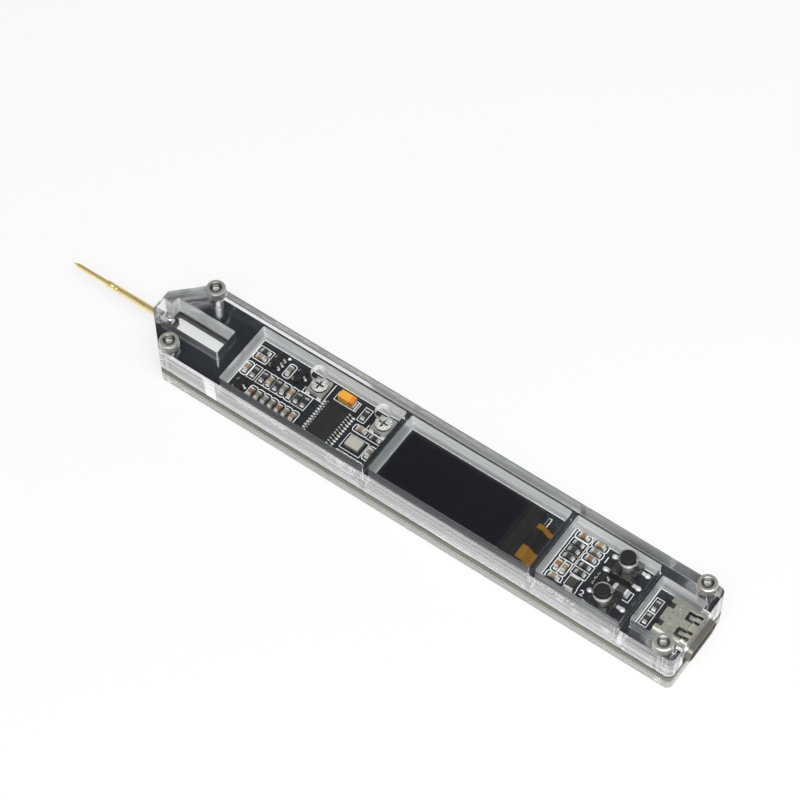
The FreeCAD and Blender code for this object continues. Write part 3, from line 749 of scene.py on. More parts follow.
def chip_marks(node, radius=0.0):
    """Outlines round the chips of one node, longer along each chip than across it."""
    along, across = 1.56, 0.77
    paths = []
    for a, b in islands(node):
        middle = (a + b) / 2
        reach = (along, across) if b.x - a.x > b.y - a.y else (across, along)
        paths.append(box_path(middle, middle, *reach, radius))
    return paths


def part_marks():
    """Outlines and brackets round the larger parts."""
    marks = [box_path(*corners(node), end, side)
             for node, end, side in (("tantalum_terminals", 0.65, 0.4), ("oscillator_base", 0.55, 0.45))]
    for node, points in BRACKETS:
        box = corners(node)
        marks.append([(box[i].x + x, box[j].y + y) for i, x, j, y in points])
    return marks


def track_paths():
    """Tracks that leave the controller's leads and run on under the lacquer."""
    gap, first_run, step, left_bend, right_bend = 0.1, 0.5, 0.24, 0.35, 0.3
    leads = islands("controller_leads")
    count, width = len(leads) // 2, leads[0][1].y - leads[0][0].y
    a, b = corners("controller_leads")
    pitch = (b.y - a.y - width) / (count - 1)
    paths = []
    for i in range(count):
        y = a.y + width / 2 + i * pitch
        left, right = a.x - first_run - step * (i % 4), b.x + first_run + step * (i % 4)
        up, out = left_bend if 2 * i >= count else -left_bend, right_bend if i % 3 else -right_bend
        paths.append([(a.x - gap, y), (left, y), (left - left_bend, y + up)])
        paths.append([(b.x + gap, y), (right, y), (right + right_bend, y + out)])
    for sides, points in LONG_TRACKS:
        paths += [[(x, side * share) for x, share in points] for side in sides]
    return paths


class TESTER_OT_board(Operator):
    """Lacquered board with a bare laminate edge and tracks"""
    bl_idname = "tester.board"
    bl_label = "Board"

    def execute(self, context):
        settings = context.scene.tester_board
        mask = grained("board_mask", settings.mask, (0.30, 0.46), grain=1.6, spread=0.2, bump=0.08,
                       specular_ior_level=0.4)
        bm = merged("circuit_board")
        for face in bm.faces:
            face.material_index = 0 if abs(face.normal.z) > FACING else 1
        piece = piece_from(bm, "circuit_board_piece", mask, self.laminate(settings))
        settle(ease(piece, BOARD_EDGE * MM, segments=1), "case", "board_mask", "circuit_board")
        level = BOARD_TOP * MM + settings.track_height / 4
        lacquer = grained("track_mask", shade(settings.mask, 1.9), (0.28, 0.42), grain=1.6, spread=0.15)
        tracks = strips("board_tracks", track_paths(), level, settings.track_width, settings.track_height,
                        lacquer)
        settle(tracks, "case", "board_mask")
        return {"FINISHED"}

    def laminate(self, settings):
        """Cut edge with glass layers under a skin of lacquer."""
        finish = Finish("board_laminate")
        layers = finish.noise(1.1, detail=2, stretch=(0.08, 0.08, 5))
        fibres = finish.noise(6, stretch=(0.4, 0.4, 1))
        bare = finish.mottled(layers, settings.laminate, 0.55, 1.35, 0.35, 0.65)
        skin_low, skin_high = (BOARD_TOP - 0.36) * MM, (BOARD_TOP - 0.26) * MM
        lacquer = finish.span(finish.axis("Z"), 0, 1, skin_low, skin_high)
        return finish.surface(finish.blend(lacquer, bare, tuple(settings.mask)), fibres, (0.5, 0.75), 0.2)


class TESTER_OT_print(Operator):
    """Printed outlines round the parts, borders and key numbers"""
    bl_idname = "tester.print"
    bl_label = "Printed lines"

    def execute(self, context):
        settings = context.scene.tester_board
        look = grained("board_ink", settings.ink, (0.5, 0.7), grain=5, spread=0.1, bump=0.15)
        inset, corner = 0.06, 0.45
        paths = [box_path(a, b, -inset, -inset) for a, b in POCKETS[1:]]
        paths += part_marks() + chip_marks("resistors")
        for node in CAPACITORS:
            paths += chip_marks(node, corner)
        level = BOARD_TOP * MM + settings.ink_height * INK_MIDDLE
        lines = strips("board_print", paths, level, settings.ink_width, settings.ink_height, look)
        settle(lines, "case", "board_ink")
        for number in ("1", "2"):
            self.legend(context, number, look)
        profile = [(0, 0), (0.3, 0), (0.3, 0.015), (0.26, 0.02), (0, 0.02)]
        dot = lathe("board_dot", profile, DOT_PLACE, look, segments=20)
        settle(smooth(dot), "case", "board_ink")
        return {"FINISHED"}

    def legend(self, context, number, look):
        """Number printed beside a key."""
        beside, lift, half_height, font_share = 2.0, 0.012, 0.01, 1.35
        text = bpy.data.curves.new("legend_" + number, "FONT")
        text.body = number
        text.align_x = text.align_y = "CENTER"
        text.size = context.scene.tester_keys.legend * font_share
        text.extrude = half_height * MM
        source = add_piece("legend_source", text)
        mesh = baked(source)
        bpy.data.objects.remove(source)
        a, b = corners("key_" + number + "_base")
        mesh.transform(Matrix.Translation(Vector((a.x - beside, (a.y + b.y) / 2, BOARD_TOP + lift)) * MM))
        mesh.materials.clear()
        mesh.materials.append(look)
        settle(add_piece("legend_" + number, mesh), "case", "board_ink")


# Fasteners and probe

class TESTER_OT_screws(Operator):
    """Socket-head screws with knurled heads, hexagon recesses and threads"""
    bl_idname = "tester.screws"
    bl_label = "Screws"

    def execute(self, context):
        settings = context.scene.tester_metal
        a, b = SCREWS[0]
        radius, depth = (b.x - a.x) / 2, settings.knurl_depth / MM
        steel = metal("screw_steel", settings.steel, (0.14, 0.28), grain=2.2, spread=0.15, metallic=0.72)
        # Much darker steel for the head's side under the knurls, the ring round the recess and the recess
        # walls: painted shade in the grooves and the recess.
        dull = metal("screw_painted_shade", shade(settings.steel, 0.3), (0.25, 0.4), grain=2.2, spread=0.15)
        bm = bmesh.new()
        for x, y in SCREW_PLACES:
            self.head(bm, x, y, radius - depth, b.z)
            self.thread(bm, x, y, a.z, settings)
        piece = smooth(shell(bm, "case_screws_piece", steel, dull), TURNED_SHARP)
        settle(piece, "case", "screw_steel", "case_screws")
        settle(self.knurls(settings.knurls, radius, depth, b.z, steel), "case", "screw_steel")
        return {"FINISHED"}

    def knurls(self, count, radius, depth, top, look):
        """Ridges round each head."""
        half, root = 0.6 * math.pi * radius / count, radius - 1.5 * depth
        bm = bmesh.new()
        rows = [loop(bm, [(root - pull, -half, z), (radius - pull, 0, z), (root - pull, half, z)])
                for z, pull in ((COVER_TOP + 0.12, 0.07), (COVER_TOP + 0.25, 0), (top - 0.38, 0),
                                (top - 0.2, 0.09))]
        skin(bm, rows, rows[0], rows[-1])
        ridge = shell(bm, "ridge_shape")
        places = [((x, y, 0), turn, (1, 1, 1)) for x, y in SCREW_PLACES for turn in ring(count)]
        return scatter("screw_knurls", places, ridge, look)

    def head(self, bm, x, y, radius, top):
        """Head with a hexagon recess; its side, the ring round its recess and the recess walls take the second
        look, painted shade in the grooves and the recess.
        """
        foot, half_flats, floor, sixth = COVER_TOP, 0.76, top - 1.0, math.pi / 3
        rings = [(radius * 0.5, foot), (radius - 0.05, foot), (radius, foot + 0.05), (radius, top - 0.26),
                 (radius - 0.10, top - 0.07), (radius - 0.26, top), (1.16, top), (1.08, top - 0.05)]
        rows = [[(0, 0, foot)]]
        turns = ring(48)
        rows += [[(r * math.cos(t), r * math.sin(t), z) for t in turns] for r, z in rings]
        for z in (top - 0.10, floor):
            reach = [half_flats / math.cos((t + sixth / 2) % sixth - sixth / 2) for t in turns]
            rows.append([(r * math.cos(t), r * math.sin(t), z) for t, r in zip(turns, reach)])
        rows.append([(0, 0, floor - 0.2)])
        bands = skin(bm, [loop(bm, [(x + i, y + j, z) for i, j, z in row]) for row in rows])
        side, recess = bands[3], bands[7] + bands[8] + bands[9]
        for face in side + recess:
            face.material_index = 1

    def thread(self, bm, x, y, bottom, settings):
        """Threaded shank, closed at both ends and narrower at its tip."""
        count, per_turn, core, tip_rows, tip_depth = 20, 4, 1.0, 3, 0.2
        pitch, depth = settings.thread_pitch / MM, settings.thread_depth / MM
        steps = int((COVER_TOP - bottom) / pitch * per_turn)
        rows = []
        for k in range(steps + 1):
            z = bottom + (COVER_TOP - bottom) * k / steps
            crest = core - tip_depth * (1 - min(1.0, k / tip_rows))
            radii = [crest - depth * abs(2 * ((z / pitch - i / count) % 1.0) - 1) for i in range(count)]
            rows.append(loop(bm, [(x + r * math.cos(t), y + r * math.sin(t), z)
                                  for r, t in zip(radii, ring(count))]))
        skin(bm, rows, rows[0], rows[-1])


class TESTER_OT_probe(Operator):
    """Gold probe: crimped tube, pointed plunger, spring and the solder that holds the tail"""
    bl_idname = "tester.probe"
    bl_label = "Probe"

    def execute(self, context):
        settings = context.scene.tester_metal
        tube = smooth(self.tube(self.plating(settings)), TURNED_SHARP)
        settle(tube, "case", "probe_gold", "probe_barrel")
        bright = metal("plunger_gold", shade(settings.gold, 1.05), (0.26, 0.36), stretch=(0.25, 1, 1),
                       grain=2.5, metallic=0.82)
        tip = smooth(self.plunger(bright), TURNED_SHARP)
        settle(tip, "probe_tip", "plunger_gold", "probe_plunger")
        solder = metal("probe_solder", settings.tin, (0.12, 0.28), grain=1.2, bump=0.12, depth=0.04)
        settle(smooth(self.blob(solder), ROUND_SHARP), "case", "solder", "probe_solder")
        self.spring(settings.spring_wire / MM, metal("spring_steel", settings.steel, (0.25, 0.4)))
        return {"FINISHED"}

    def spring(self, wire, look):
        """Coil between the piston and the end of the tube, wound so that it isn't solid at full travel."""
        a, b = corners("probe_spring")
        closed, fill = b.x - a.x - TRAVEL["probe_plunge"] / MM, 0.8
        coil = add_piece("probe_spring_piece", bpy.data.meshes.new("probe_spring_piece"))
        coil_tree().run(coil, radius=((b.z - a.z) / 2 - wire) * MM, wire=wire * MM,
                        length=(b.x - a.x - 2 * wire) * MM, turns=fill * closed / (2 * wire), material=look)
        coil.data.transform(Matrix.Translation(Vector((a.x + wire, 0, (a.z + b.z) / 2)) * MM) @ ALONG_X)
        settle(smooth(coil, ROUND_SHARP), "case", "spring_steel", "probe_spring")
        squeeze(coil)

    def plating(self, settings):
        """Drawn gold plate, tinned where solder has run along the tail."""
        finish = Finish("probe_gold")
        drawn = finish.noise(2.0, stretch=(0.25, 1, 1))
        gold = finish.mottled(drawn, settings.gold, 0.9, 1.1)
        tones = finish.blend(finish.past("X", corners("probe_solder")[0].x), gold, tuple(settings.tin))
        return finish.surface(tones, drawn, (0.26, 0.36), 0.02, metallic=0.82)

    def tube(self, look):
        """Tube with a rolled mouth, two crimp grooves and a thinner tail."""
        a, b = corners("probe_barrel")
        radius, whole, nose = (b.z - a.z) / 2, b.x - a.x, NOSE_X - a.x
        bore, mouth, lip, tail, groove = 0.6, 0.53, 0.6, 0.5, 0.05
        profile = [(mouth, 0), (radius - 0.10, 0), (radius - 0.03, 0.04), (radius, 0.13)]
        for crimp in (1.6, 2.5):
            profile += [(radius, crimp - 0.22), (radius - groove, crimp - 0.10),
                        (radius - groove, crimp + 0.10), (radius, crimp + 0.22)]
        profile += [(radius, nose - 0.1), (radius - 0.06, nose), (tail, nose), (tail, whole - 0.1),
                    (tail - 0.1, whole), (0, whole), (0, nose - 0.3), (bore, nose - 0.3), (bore, lip),
                    (mouth, lip), (mouth, 0)]
        place = (a.x, 0, (a.z + b.z) / 2)
        return lathe("probe_barrel_piece", profile, place, look, along_x=True, segments=32)

    def plunger(self, look):
        """Plunger with a long point, a shallow shoulder and a piston."""
        a, b = corners("probe_plunger")
        piston, whole, shank = (b.z - a.z) / 2, b.x - a.x, 0.5
        profile = [(0, 0), (0.05, 0.02), (0.10, 0.16), (0.34, 0.86), (0.46, 1.2), (shank, 1.42),
                   (shank, whole - 2.05), (piston - 0.03, whole - 2.0), (piston, whole - 1.95),
                   (piston, whole - 0.05), (piston - 0.05, whole), (0, whole)]
        barrel_low, barrel_high = corners("probe_barrel")
        place = (a.x, 0, (barrel_low.z + barrel_high.z) / 2)
        return lathe("probe_plunger_piece", profile, place, look, along_x=True, segments=32)

    def blob(self, look):
        """Smooth mound of solder round the tail."""
        a, b = corners("probe_solder")
        middle, reach, rings, steepness, wobble = (a.x + b.x) / 2, (b - a) / 2, 12, 6, 0.05
        bm = bmesh.new()
        rows = [loop(bm, [(middle, 0, b.z)])]
        for k in range(1, rings + 1):
            share = k / rings
            height = a.z + (b.z - a.z) * (1 - share ** steepness) ** 0.5
            row = []
            for t in ring(40):
                size = share * (1 - wobble * (1 + math.sin(3 * t + 0.6)) * share)
                row.append((middle + reach.x * size * math.cos(t), reach.y * size * math.sin(t), height))
            rows.append(loop(bm, row))
        skin(bm, rows, rows[-1][::-1])
        return shell(bm, "probe_solder_piece", look)


# Display

class TESTER_OT_display(Operator):
    """Display: dark panel on foam, driver chip under tape, amber flex tail"""
    bl_idname = "tester.display"
    bl_label = "Display"

    def execute(self, context):
        settings = context.scene.tester_chips
        edge, film_edge = 0.06 * MM, 0.02 * MM
        glass = grained("panel_glass", (0.012, 0.014, 0.016), (0.03, 0.10), grain=0.3, spread=0.25, bump=0.02,
                        coat_weight=0.6, coat_roughness=0.03)
        foam = grained("panel_foam", (0.012, 0.012, 0.012), (0.8, 0.95), grain=3, spread=0.3, bump=0.5,
                       depth=0.05)
        tape = grained("panel_tape", (0.006, 0.006, 0.0062), (0.4, 0.6), spread=0.25, bump=0.2,
                       specular_ior_level=0.2)
        silicon = grained("driver_silicon", (0.06, 0.06, 0.07), (0.1, 0.25), grain=2, spread=0.2)
        for node, look, slot, width in (
            ("display_foam", foam, "display_foam", edge),
            ("display_rear_glass", glass, "display_glass", edge),
            ("display_cap_glass", glass, "display_glass", edge),
            ("display_polariser", self.face(settings), "display_face", edge),
            ("display_driver", silicon, "silicon", edge),
            ("display_tape", tape, "black_tape", edge),
            ("display_flex", self.flex(settings), "amber_flex", edge),
            ("display_flex_film", tape, "black_tape", film_edge),
        ):
            softened(node, look, slot, width)
        return {"FINISHED"}

    def face(self, settings):
        """Polariser over a faintly paler lit area."""
        finish = Finish("panel_face")
        a, b = corners("display_polariser")
        end, side = 1.6, 2.1
        lit = finish.math("MULTIPLY", finish.between("X", a.x + end, b.x - end),
                          finish.between("Y", a.y + side, b.y - side))
        border = finish.mottled(finish.noise(0.12, detail=2), settings.panel, 0.9, 1.25)
        tones = finish.blend(lit, border, shade(settings.panel, 1.3))
        return finish.surface(tones, finish.noise(1.5), (0.12, 0.22), 0.03, coat_weight=0.3)

    def flex(self, settings):
        """Amber film over fine copper lines."""
        finish = Finish("amber_flex")
        inputs = {"Vector": finish.spot, "Scale": 0.9 / MM, "Distortion": 0.0}
        wave = finish.make("ShaderNodeTexWave", inputs, 1, bands_direction="Y")
        mottle = finish.noise(0.8)
        film = finish.mottled(mottle, settings.flex, 0.8, 1.15)
        tones = finish.blend(finish.span(wave, 0, 0.5, 0.4, 0.6), film, shade(settings.flex, 1.5))
        return finish.surface(tones, mottle, (0.25, 0.4), 0.1, relief=wave, coat_weight=0.3)


# Chips

# Side outline of a solder fillet: distance out, height and half width, as shares of its size
FILLET = ((0, 0, 0.5), (1, 0, 0.5), (0.62, 0.10, 0.48), (0.34, 0.26, 0.46), (0.14, 0.52, 0.44),
          (0, 0.9, 0.42))
CAPPED = (("capacitor_end_caps", CAPACITORS), ("resistor_end_caps", ("resistors",)),
          ("fuse_end_caps", ("fuse_body",)), ("diode_end_caps", ("diode_body",)))
# Solder on leads and terminals: half length, half width, height and distance in from the toe
MOUNDS = (
    ("controller_leads", "controller_body", (0.36, 0.22, 0.24), 0.02),
    ("transistor_leads", "transistor_bodies", (0.30, 0.27, 0.20), 0.16),
    ("key_1_terminals", "key_1_base", (0.62, 0.52, 0.34), 0.34),
    ("key_2_terminals", "key_2_base", (0.62, 0.52, 0.34), 0.34),
)


class TESTER_OT_chips(Operator):
    """Chips, leads and their solder fillets"""
    bl_idname = "tester.chips"
    bl_label = "Chips"

    def execute(self, context):
        settings, metals = context.scene.tester_chips, context.scene.tester_metal
        edge = settings.edge
        black = grained("chip_moulding", settings.moulding, (0.45, 0.65), grain=7, spread=0.2, bump=0.3,
                        specular_ior_level=0.2)
        tin = tinned("tinned_leads", metals)
        dull = metal("resistor_tin", shade(metals.tin, 0.55), (0.25, 0.42), metallic=0.45)
        lid = metal("oscillator_lid", (0.66, 0.63, 0.55), (0.28, 0.44), stretch=(0.15, 1, 1), grain=5,
                    spread=0.1, metallic=0.5)
        dark = grained("dark_ceramic", (0.06, 0.055, 0.05), (0.4, 0.6), grain=5, spread=0.2)
        glaze = grained("resistor_glaze", (0.035, 0.035, 0.037), (0.2, 0.4), spread=0.3)
        sheath = grained("fuse_laminate", (0.030, 0.027, 0.022), (0.4, 0.6), spread=0.2)
        for node, look, slot, share in (
            ("controller_body", black, "chip_moulding", 1.6),
            ("transistor_bodies", black, "chip_moulding", 1),
            ("diode_body", dark, "chip_moulding", 1),
            ("fuse_body", sheath, "fuse_body", 1),
            ("oscillator_base", dark, "oscillator_ceramic", 1),
            ("oscillator_lid", lid, "oscillator_lid", 2),
            ("resistors", glaze, "resistor_black", 0.6),
            ("tantalum_body", self.tantalum(settings), "tantalum_yellow", 1.6),
            ("capacitors_tan", self.fired("tan", settings.tan), "capacitor_tan", 1),
            ("capacitors_grey", self.fired("grey", settings.grey), "capacitor_grey", 1),
            ("capacitors_brown", self.fired("brown", settings.brown), "capacitor_brown", 1),
            ("transistor_leads", tin, "tinned_leads", 0.7),
            ("tantalum_terminals", tin, "tinned_leads", 0.7),
            ("capacitor_end_caps", tin, "tinned_leads", 0.7),
            ("diode_end_caps", tin, "tinned_leads", 0.7),
            ("fuse_end_caps", tin, "tinned_leads", 0.7),
            ("controller_leads", self.lead(metals), "tinned_leads", 0.7),
            ("resistor_end_caps", dull, "tinned_leads", 0.7),
        ):
            softened(node, look, slot, edge * share)
        settle(self.fillets(tin), "case", "tinned_leads")
        settle(self.mounds(tinned("solder", metals)), "case", "solder")
        return {"FINISHED"}

    def fired(self, tint, tone):
        """Fired body of a chip capacitor."""
        return grained("fired_" + tint, tone, (0.35, 0.55), grain=5, spread=0.14, bump=0.2)

    def lead(self, metals):
        """Tin on the shoulders and toes of the leads, with painted shade darkening their steep risers."""
        finish = Finish("lead_tin")
        mottle = finish.noise(3.0)
        # Painted shade: the steep risers between these heights take a far darker tin.
        riser_shade = finish.between("Z", BOARD_TOP + 0.2, BOARD_TOP + 0.42)
        tones = finish.blend(riser_shade, finish.mottled(mottle, metals.tin, 1.0, 1.2), shade(metals.tin, 0.12))
        return finish.surface(tones, mottle, (0.25, 0.4), 0.02, metallic=0.25)

    def tantalum(self, settings):
        """Moulded yellow body with a darker band at one end."""
        finish = Finish("tantalum_yellow")
        mottle, tone, band_width = finish.noise(3), settings.tantalum, 0.85
        body = finish.mottled(mottle, tone, 0.92, 1.08)
        band = (tone[0] * 0.86, tone[1] * 0.62, tone[2] * 0.6)
        tones = finish.blend(finish.past("X", corners("tantalum_body")[1].x - band_width), body, band)
        return finish.surface(tones, mottle, (0.35, 0.5), 0.12)

    def fillets(self, look):
        """Solder fillets at the ends of the chips."""
        bm = bmesh.new()
        rows = [[bm.verts.new((out, side * half, height)) for out, height, half in FILLET]
                for side in (-1, 1)]
        skin(bm, rows, *rows)
        shape = shell(bm, "fillet_shape")
        out, wider, rise, tallest = 0.32, 1.04, 0.75, 0.55
        places = []
        for caps, bodies in CAPPED:
            for a, b, point, turn in outer_ends(caps, *bodies):
                width = b.y - a.y if abs(math.cos(turn)) > FACING else b.x - a.x
                tall = min(rise * (b.z - a.z), tallest)
                places.append((point, turn, (out * MM, width * wider * MM, tall * MM)))
        return scatter("solder_fillets", places, shape, look)

    def mounds(self, look):
        """Solder on the feet of leads and terminals."""
        flatness = 0.9
        profile = [(0, 0), (1, 0)] + [(r, flatness * h) for r, h in arc(0, 0, 1, 10, 90)]
        dome = lathe("mound_shape", profile, (0, 0, 0), segments=16)
        places = []
        for leads, body, size, inward in MOUNDS:
            for _, _, (x, y, z), turn in outer_ends(leads, body, along_x=leads != "transistor_leads"):
                places.append(((x - inward * math.cos(turn), y - inward * math.sin(turn), z), turn, size))
        return scatter("solder_mounds", places, dome, look)


# Trimmers, keys and socket

class TESTER_OT_trimmers(Operator):
    """Trimmers: pale bases with slotted metal rotors"""
    bl_idname = "tester.trimmers"
    bl_label = "Trimmers"

    def execute(self, context):
        pale = grained("trimmer_ceramic", (0.30, 0.29, 0.265), (0.45, 0.65), grain=3, spread=0.2, bump=0.2)
        bright = metal("trimmer_metal", (0.84, 0.83, 0.79), (0.18, 0.34), grain=1.1, spread=0.2, bump=0.3,
                       depth=0.05, metallic=0.55)
        # Near-black metal that paints the shade on the rotors' rims and in their recesses.
        dark = metal("trimmer_shade", (0.06, 0.057, 0.05), (0.3, 0.45), grain=2, spread=0.1)
        tin = tinned("trimmer_tin", context.scene.tester_metal)
        for name in ("trimmer_1", "trimmer_2"):
            softened(name + "_base", pale, "trimmer_ceramic", 0.06 * MM)
            self.rotor(name, bright, dark)
            softened(name + "_terminals", tin, "tinned_leads", 0.03 * MM)
        return {"FINISHED"}

    def rotor(self, name, bright, dark):
        """Rotor with a bright face, and painted shade darkening its rim and cross recess."""
        node = name + "_rotor"
        bm = merged(node)
        top = corners(node)[1].z
        for face in bm.faces:
            # Every face below the top takes the painted shade.
            face.material_index = 0 if min(vert.co.z for vert in face.verts) / MM > top - NEAR else 1
        piece = ease(piece_from(bm, node + "_piece", bright, dark), 0.05 * MM)
        settle(piece, name, "trimmer_metal", node)


class TESTER_OT_keys(Operator):
    """Push keys: moulded caps with rounded edges in stamped covers"""
    bl_idname = "tester.keys"
    bl_label = "Keys"

    def execute(self, context):
        metals = context.scene.tester_metal
        black = grained("key_cap", (0.016, 0.016, 0.0165), (0.35, 0.5), grain=5, spread=0.2, bump=0.2,
                        specular_ior_level=0.2)
        sheet = metal("key_cover", shade(metals.steel, 0.55), (0.10, 0.2), grain=0.8, bump=0.005)
        tin = tinned("key_tin", metals)
        spring = metal("dome_steel", metals.steel, (0.2, 0.35))
        for name in ("key_1", "key_2"):
            softened(name + "_base", black, "key_base", 0.08 * MM)
            softened(name + "_cover", sheet, "key_cover", 0.05 * MM)
            softened(name + "_terminals", tin, "tinned_leads", 0.04 * MM)
            dome = softened(name + "_dome", spring, "spring_steel", 0.01 * MM)
            squeeze(dome)
            cap = self.cap(name, context.scene.tester_keys, black)
            settle(smooth(cap, CAP_SHARP), name, "key_cap", name + "_plunger")
        return {"FINISHED"}

    def cap(self, name, settings, look):
        """Turned cap with a flange below and a shallow dish on top."""
        a, b = corners(name + "_plunger")
        flange, eased, dish = (b.x - a.x) / 2, 0.05, 0.05
        radius, rounding, rim = settings.radius / MM, settings.rounding / MM, a.z + settings.flange / MM
        profile = [(0, a.z), (flange - eased, a.z), (flange, a.z + eased), (flange, rim - eased),
                   (flange - eased, rim), (radius, rim)]
        profile += arc(radius - rounding, b.z - rounding, rounding, 0, 90)
        profile += [(radius * 0.55, b.z - dish * 0.3), (0, b.z - dish)]
        return lathe(name + "_plunger_piece", profile, ((a.x + b.x) / 2, (a.y + b.y) / 2, 0), look)


class TESTER_OT_socket(Operator):
    """Socket: stamped shell, moulded insert and gold contacts"""
    bl_idname = "tester.socket"
    bl_label = "Socket"
    lip_x = END_X - 0.6

    def execute(self, context):
        insert = grained("socket_insert", (0.018, 0.018, 0.018), (0.4, 0.6), grain=5, spread=0.2)
        softened("usb_shell", self.plated((0.47, 0.45, 0.385)), "socket_steel", 0.05 * MM)
        softened("usb_insert", insert, "socket_insert", 0.06 * MM)
        softened("usb_contacts", self.contact(context.scene.tester_metal), "contact_gold", 0.02 * MM)
        return {"FINISHED"}

    def contact(self, metals):
        """Gold where a plug reaches, and tin on the tails, darkened as painted shade inside the shell."""
        finish = Finish("contact_gold")
        # The tails' tin is darkened to paint the shade inside the shell.
        tones = finish.blend(finish.past("X", self.lip_x), shade(metals.tin, 0.35), tuple(metals.gold))
        rough = finish.span(finish.noise(2.0), 0.18, 0.3)
        return finish.done(finish.shader(base_color=tones, roughness=rough, metallic=1.0))

    def plated(self, tone):
        """Plated sheet, with painted shade darkening the lip that stands out of the case."""
        finish = Finish("socket_steel")
        mottle = finish.noise(2.6)
        # Painted shade: past lip_x the tone fades to a much darker copy towards the end of the case.
        lip = finish.span(finish.axis("X"), 0, 1, self.lip_x * MM, END_X * MM)
        tones = finish.blend(lip, finish.mottled(mottle, tone, 0.78, 1.14, 0.35, 0.65), shade(tone, 0.4))
        return finish.surface(tones, mottle, (0.26, 0.38), 0.01, metallic=0.6)


# Stage

# Lamps: place and width in metres, and share of the main lamp's power
LAMPS = {"main_lamp": ((0.135, -0.29, 0.60), 0.45, 1.0), "side_lamp": ((0.33, -0.09, 0.59), 0.40, 0.75)}
# Turn round the pen from its near side, rise and roll of the camera, and the point it looks at
CAMERA_TURN, CAMERA_RISE, CAMERA_ROLL = math.radians(35.87), math.radians(57.84), math.radians(-0.505)
LOOK_AT = Vector((-13.70, 12.65, 0.23))
# Height of a direction where the horizon's light starts to fade, and where only the ceiling's is left
HORIZON_FADE = (0.1, 0.7)
# Half width of the floor and its drop below the part, in metres
FLOOR_HALF = 4.0
FLOOR_DROP = 0.0002


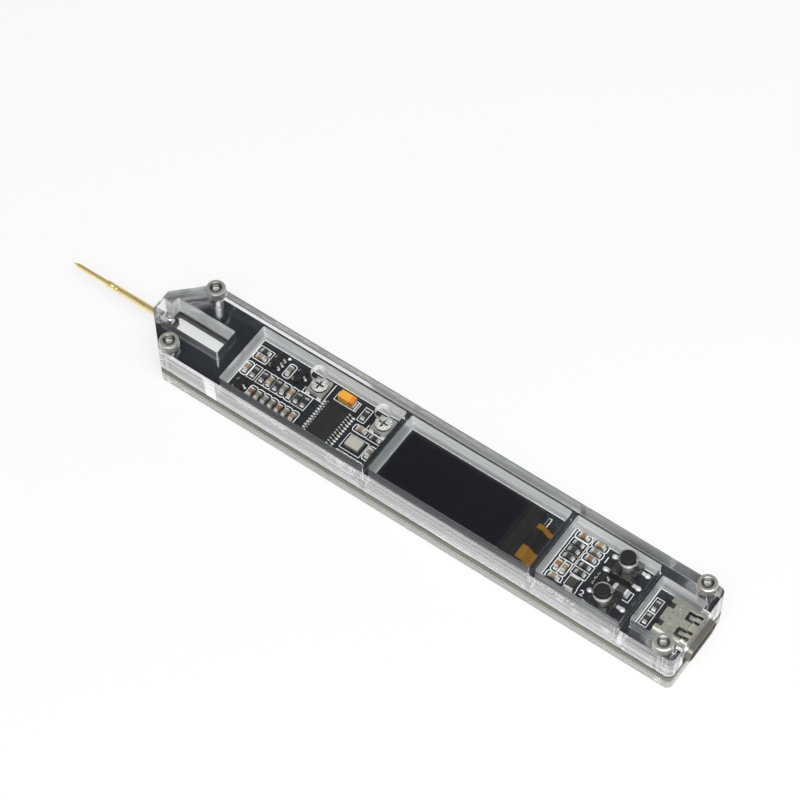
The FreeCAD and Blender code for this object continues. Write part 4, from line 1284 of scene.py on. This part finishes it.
class TESTER_OT_stage(Operator):
    """Pale floor, soft lamps, white surroundings and the camera"""
    bl_idname = "tester.stage"
    bl_label = "Stage"

    def execute(self, context):
        scene, settings = context.scene, context.scene.tester_stage
        self.floor(settings)
        self.surroundings(scene, settings)
        for name, (place, width, share) in LAMPS.items():
            self.lamp(name, Vector(place), width, settings.lamp * share)
        self.camera(scene, settings)
        scene.view_settings.view_transform = "Standard"
        scene.cycles.max_bounces = 20
        scene.cycles.transmission_bounces = 20
        scene.cycles.transparent_max_bounces = 24
        scene.cycles.caustics_refractive = False
        scene.cycles.caustics_reflective = False
        return {"FINISHED"}

    def floor(self, settings):
        """Floor that stays white to the eye, also mirrored or through clear sheet, and keeps a soft shadow."""
        finish = Finish("floor")
        rays = finish.node("ShaderNodeLightPath").outputs
        seen = finish.math("MAXIMUM", rays["Is Camera Ray"], rays["Is Glossy Ray"])
        seen = finish.math("MAXIMUM", seen, rays["Is Transmission Ray"])
        matte = finish.make("ShaderNodeBsdfDiffuse", {"Color": tuple(settings.floor)})
        glow = finish.make("ShaderNodeEmission", {"Strength": settings.glow})
        share = finish.math("MULTIPLY", seen, settings.share)
        mesh = bpy.data.meshes.new("floor")
        sides = ((-1, -1), (1, -1), (1, 1), (-1, 1))
        mesh.from_pydata([(x * FLOOR_HALF, y * FLOOR_HALF, -FLOOR_DROP) for x, y in sides], [], [(0, 1, 2, 3)])
        mesh.materials.append(finish.done(finish.make("ShaderNodeMixShader", {0: share, 1: matte, 2: glow})))
        add_piece("floor", mesh)

    def surroundings(self, scene, settings):
        """White to the camera; to all else a bright horizon under a dim ceiling."""
        scene.world = bpy.data.worlds.new("surroundings")
        scene.world.use_nodes = True
        nodes = Nodes(scene.world.node_tree)
        direction = nodes.make("ShaderNodeTexCoord", output="Generated")
        height = nodes.make("ShaderNodeSeparateXYZ", {0: direction}, "Z")
        fade = nodes.span(height, settings.sky, settings.ceiling, *HORIZON_FADE)
        light = nodes.make("ShaderNodeBackground", {"Strength": fade})
        white = nodes.make("ShaderNodeBackground")
        straight = nodes.make("ShaderNodeLightPath", output="Is Camera Ray")
        mix = nodes.make("ShaderNodeMixShader", {0: straight, 1: light, 2: white})
        nodes.node("ShaderNodeOutputWorld", {0: mix})

    def lamp(self, name, place, width, power):
        """Square lamp that faces the middle of the pen."""
        data = bpy.data.lights.new(name, "AREA")
        data.energy = power
        data.size = width
        lamp = add_piece(name, data)
        lamp.location = place
        lamp.rotation_euler = (-place).to_track_quat("-Z", "Y").to_euler()

    def camera(self, scene, settings):
        """Camera at the photograph's height, side and roll."""
        level, roll = math.cos(CAMERA_RISE), CAMERA_ROLL
        back = Vector((level * math.sin(CAMERA_TURN), -level * math.cos(CAMERA_TURN), math.sin(CAMERA_RISE)))
        right = Vector((0, 0, 1)).cross(back).normalized()
        up = back.cross(right)
        right, up = (right * math.cos(roll) + up * math.sin(roll),
                     up * math.cos(roll) - right * math.sin(roll))
        pose = Matrix((right, up, back)).transposed().to_4x4()
        pose.translation = LOOK_AT * MM + back * settings.distance
        scene.camera = add_piece("camera", bpy.data.cameras.new("camera"))
        scene.camera.data.lens = settings.lens
        scene.camera.matrix_world = pose


# Add-on

SETTINGS = {
    "tester_case": CaseSettings,
    "tester_board": BoardSettings,
    "tester_metal": MetalSettings,
    "tester_chips": ChipSettings,
    "tester_keys": KeySettings,
    "tester_stage": StageSettings,
}
STEPS = (TESTER_OT_case, TESTER_OT_board, TESTER_OT_print, TESTER_OT_screws, TESTER_OT_probe,
         TESTER_OT_display, TESTER_OT_chips, TESTER_OT_trimmers, TESTER_OT_keys, TESTER_OT_socket,
         TESTER_OT_stage)


class TESTER_PT_panel(Panel):
    """Sizes, colours and steps of the pen tester"""
    bl_idname = "TESTER_PT_panel"
    bl_label = "Pen Tester"
    bl_space_type = "VIEW_3D"
    bl_region_type = "UI"
    bl_category = "Pen Tester"

    def draw(self, context):
        for name, group in SETTINGS.items():
            box = self.layout.box()
            for key in group.__annotations__:
                box.prop(getattr(context.scene, name), key)
        for step in STEPS:
            self.layout.operator(step.bl_idname)


def register():
    for made in (*SETTINGS.values(), *STEPS, TESTER_PT_panel):
        bpy.utils.register_class(made)
    for name, group in SETTINGS.items():
        setattr(bpy.types.Scene, name, PointerProperty(type=group))


def unregister():
    for name in SETTINGS:
        delattr(bpy.types.Scene, name)
    for made in (TESTER_PT_panel, *reversed(STEPS), *SETTINGS.values()):
        bpy.utils.unregister_class(made)


def main():
    register()
    for step in STEPS:
        family, name = step.bl_idname.split(".")
        getattr(getattr(bpy.ops, family), name)()


if __name__ == "__main__":
    main()
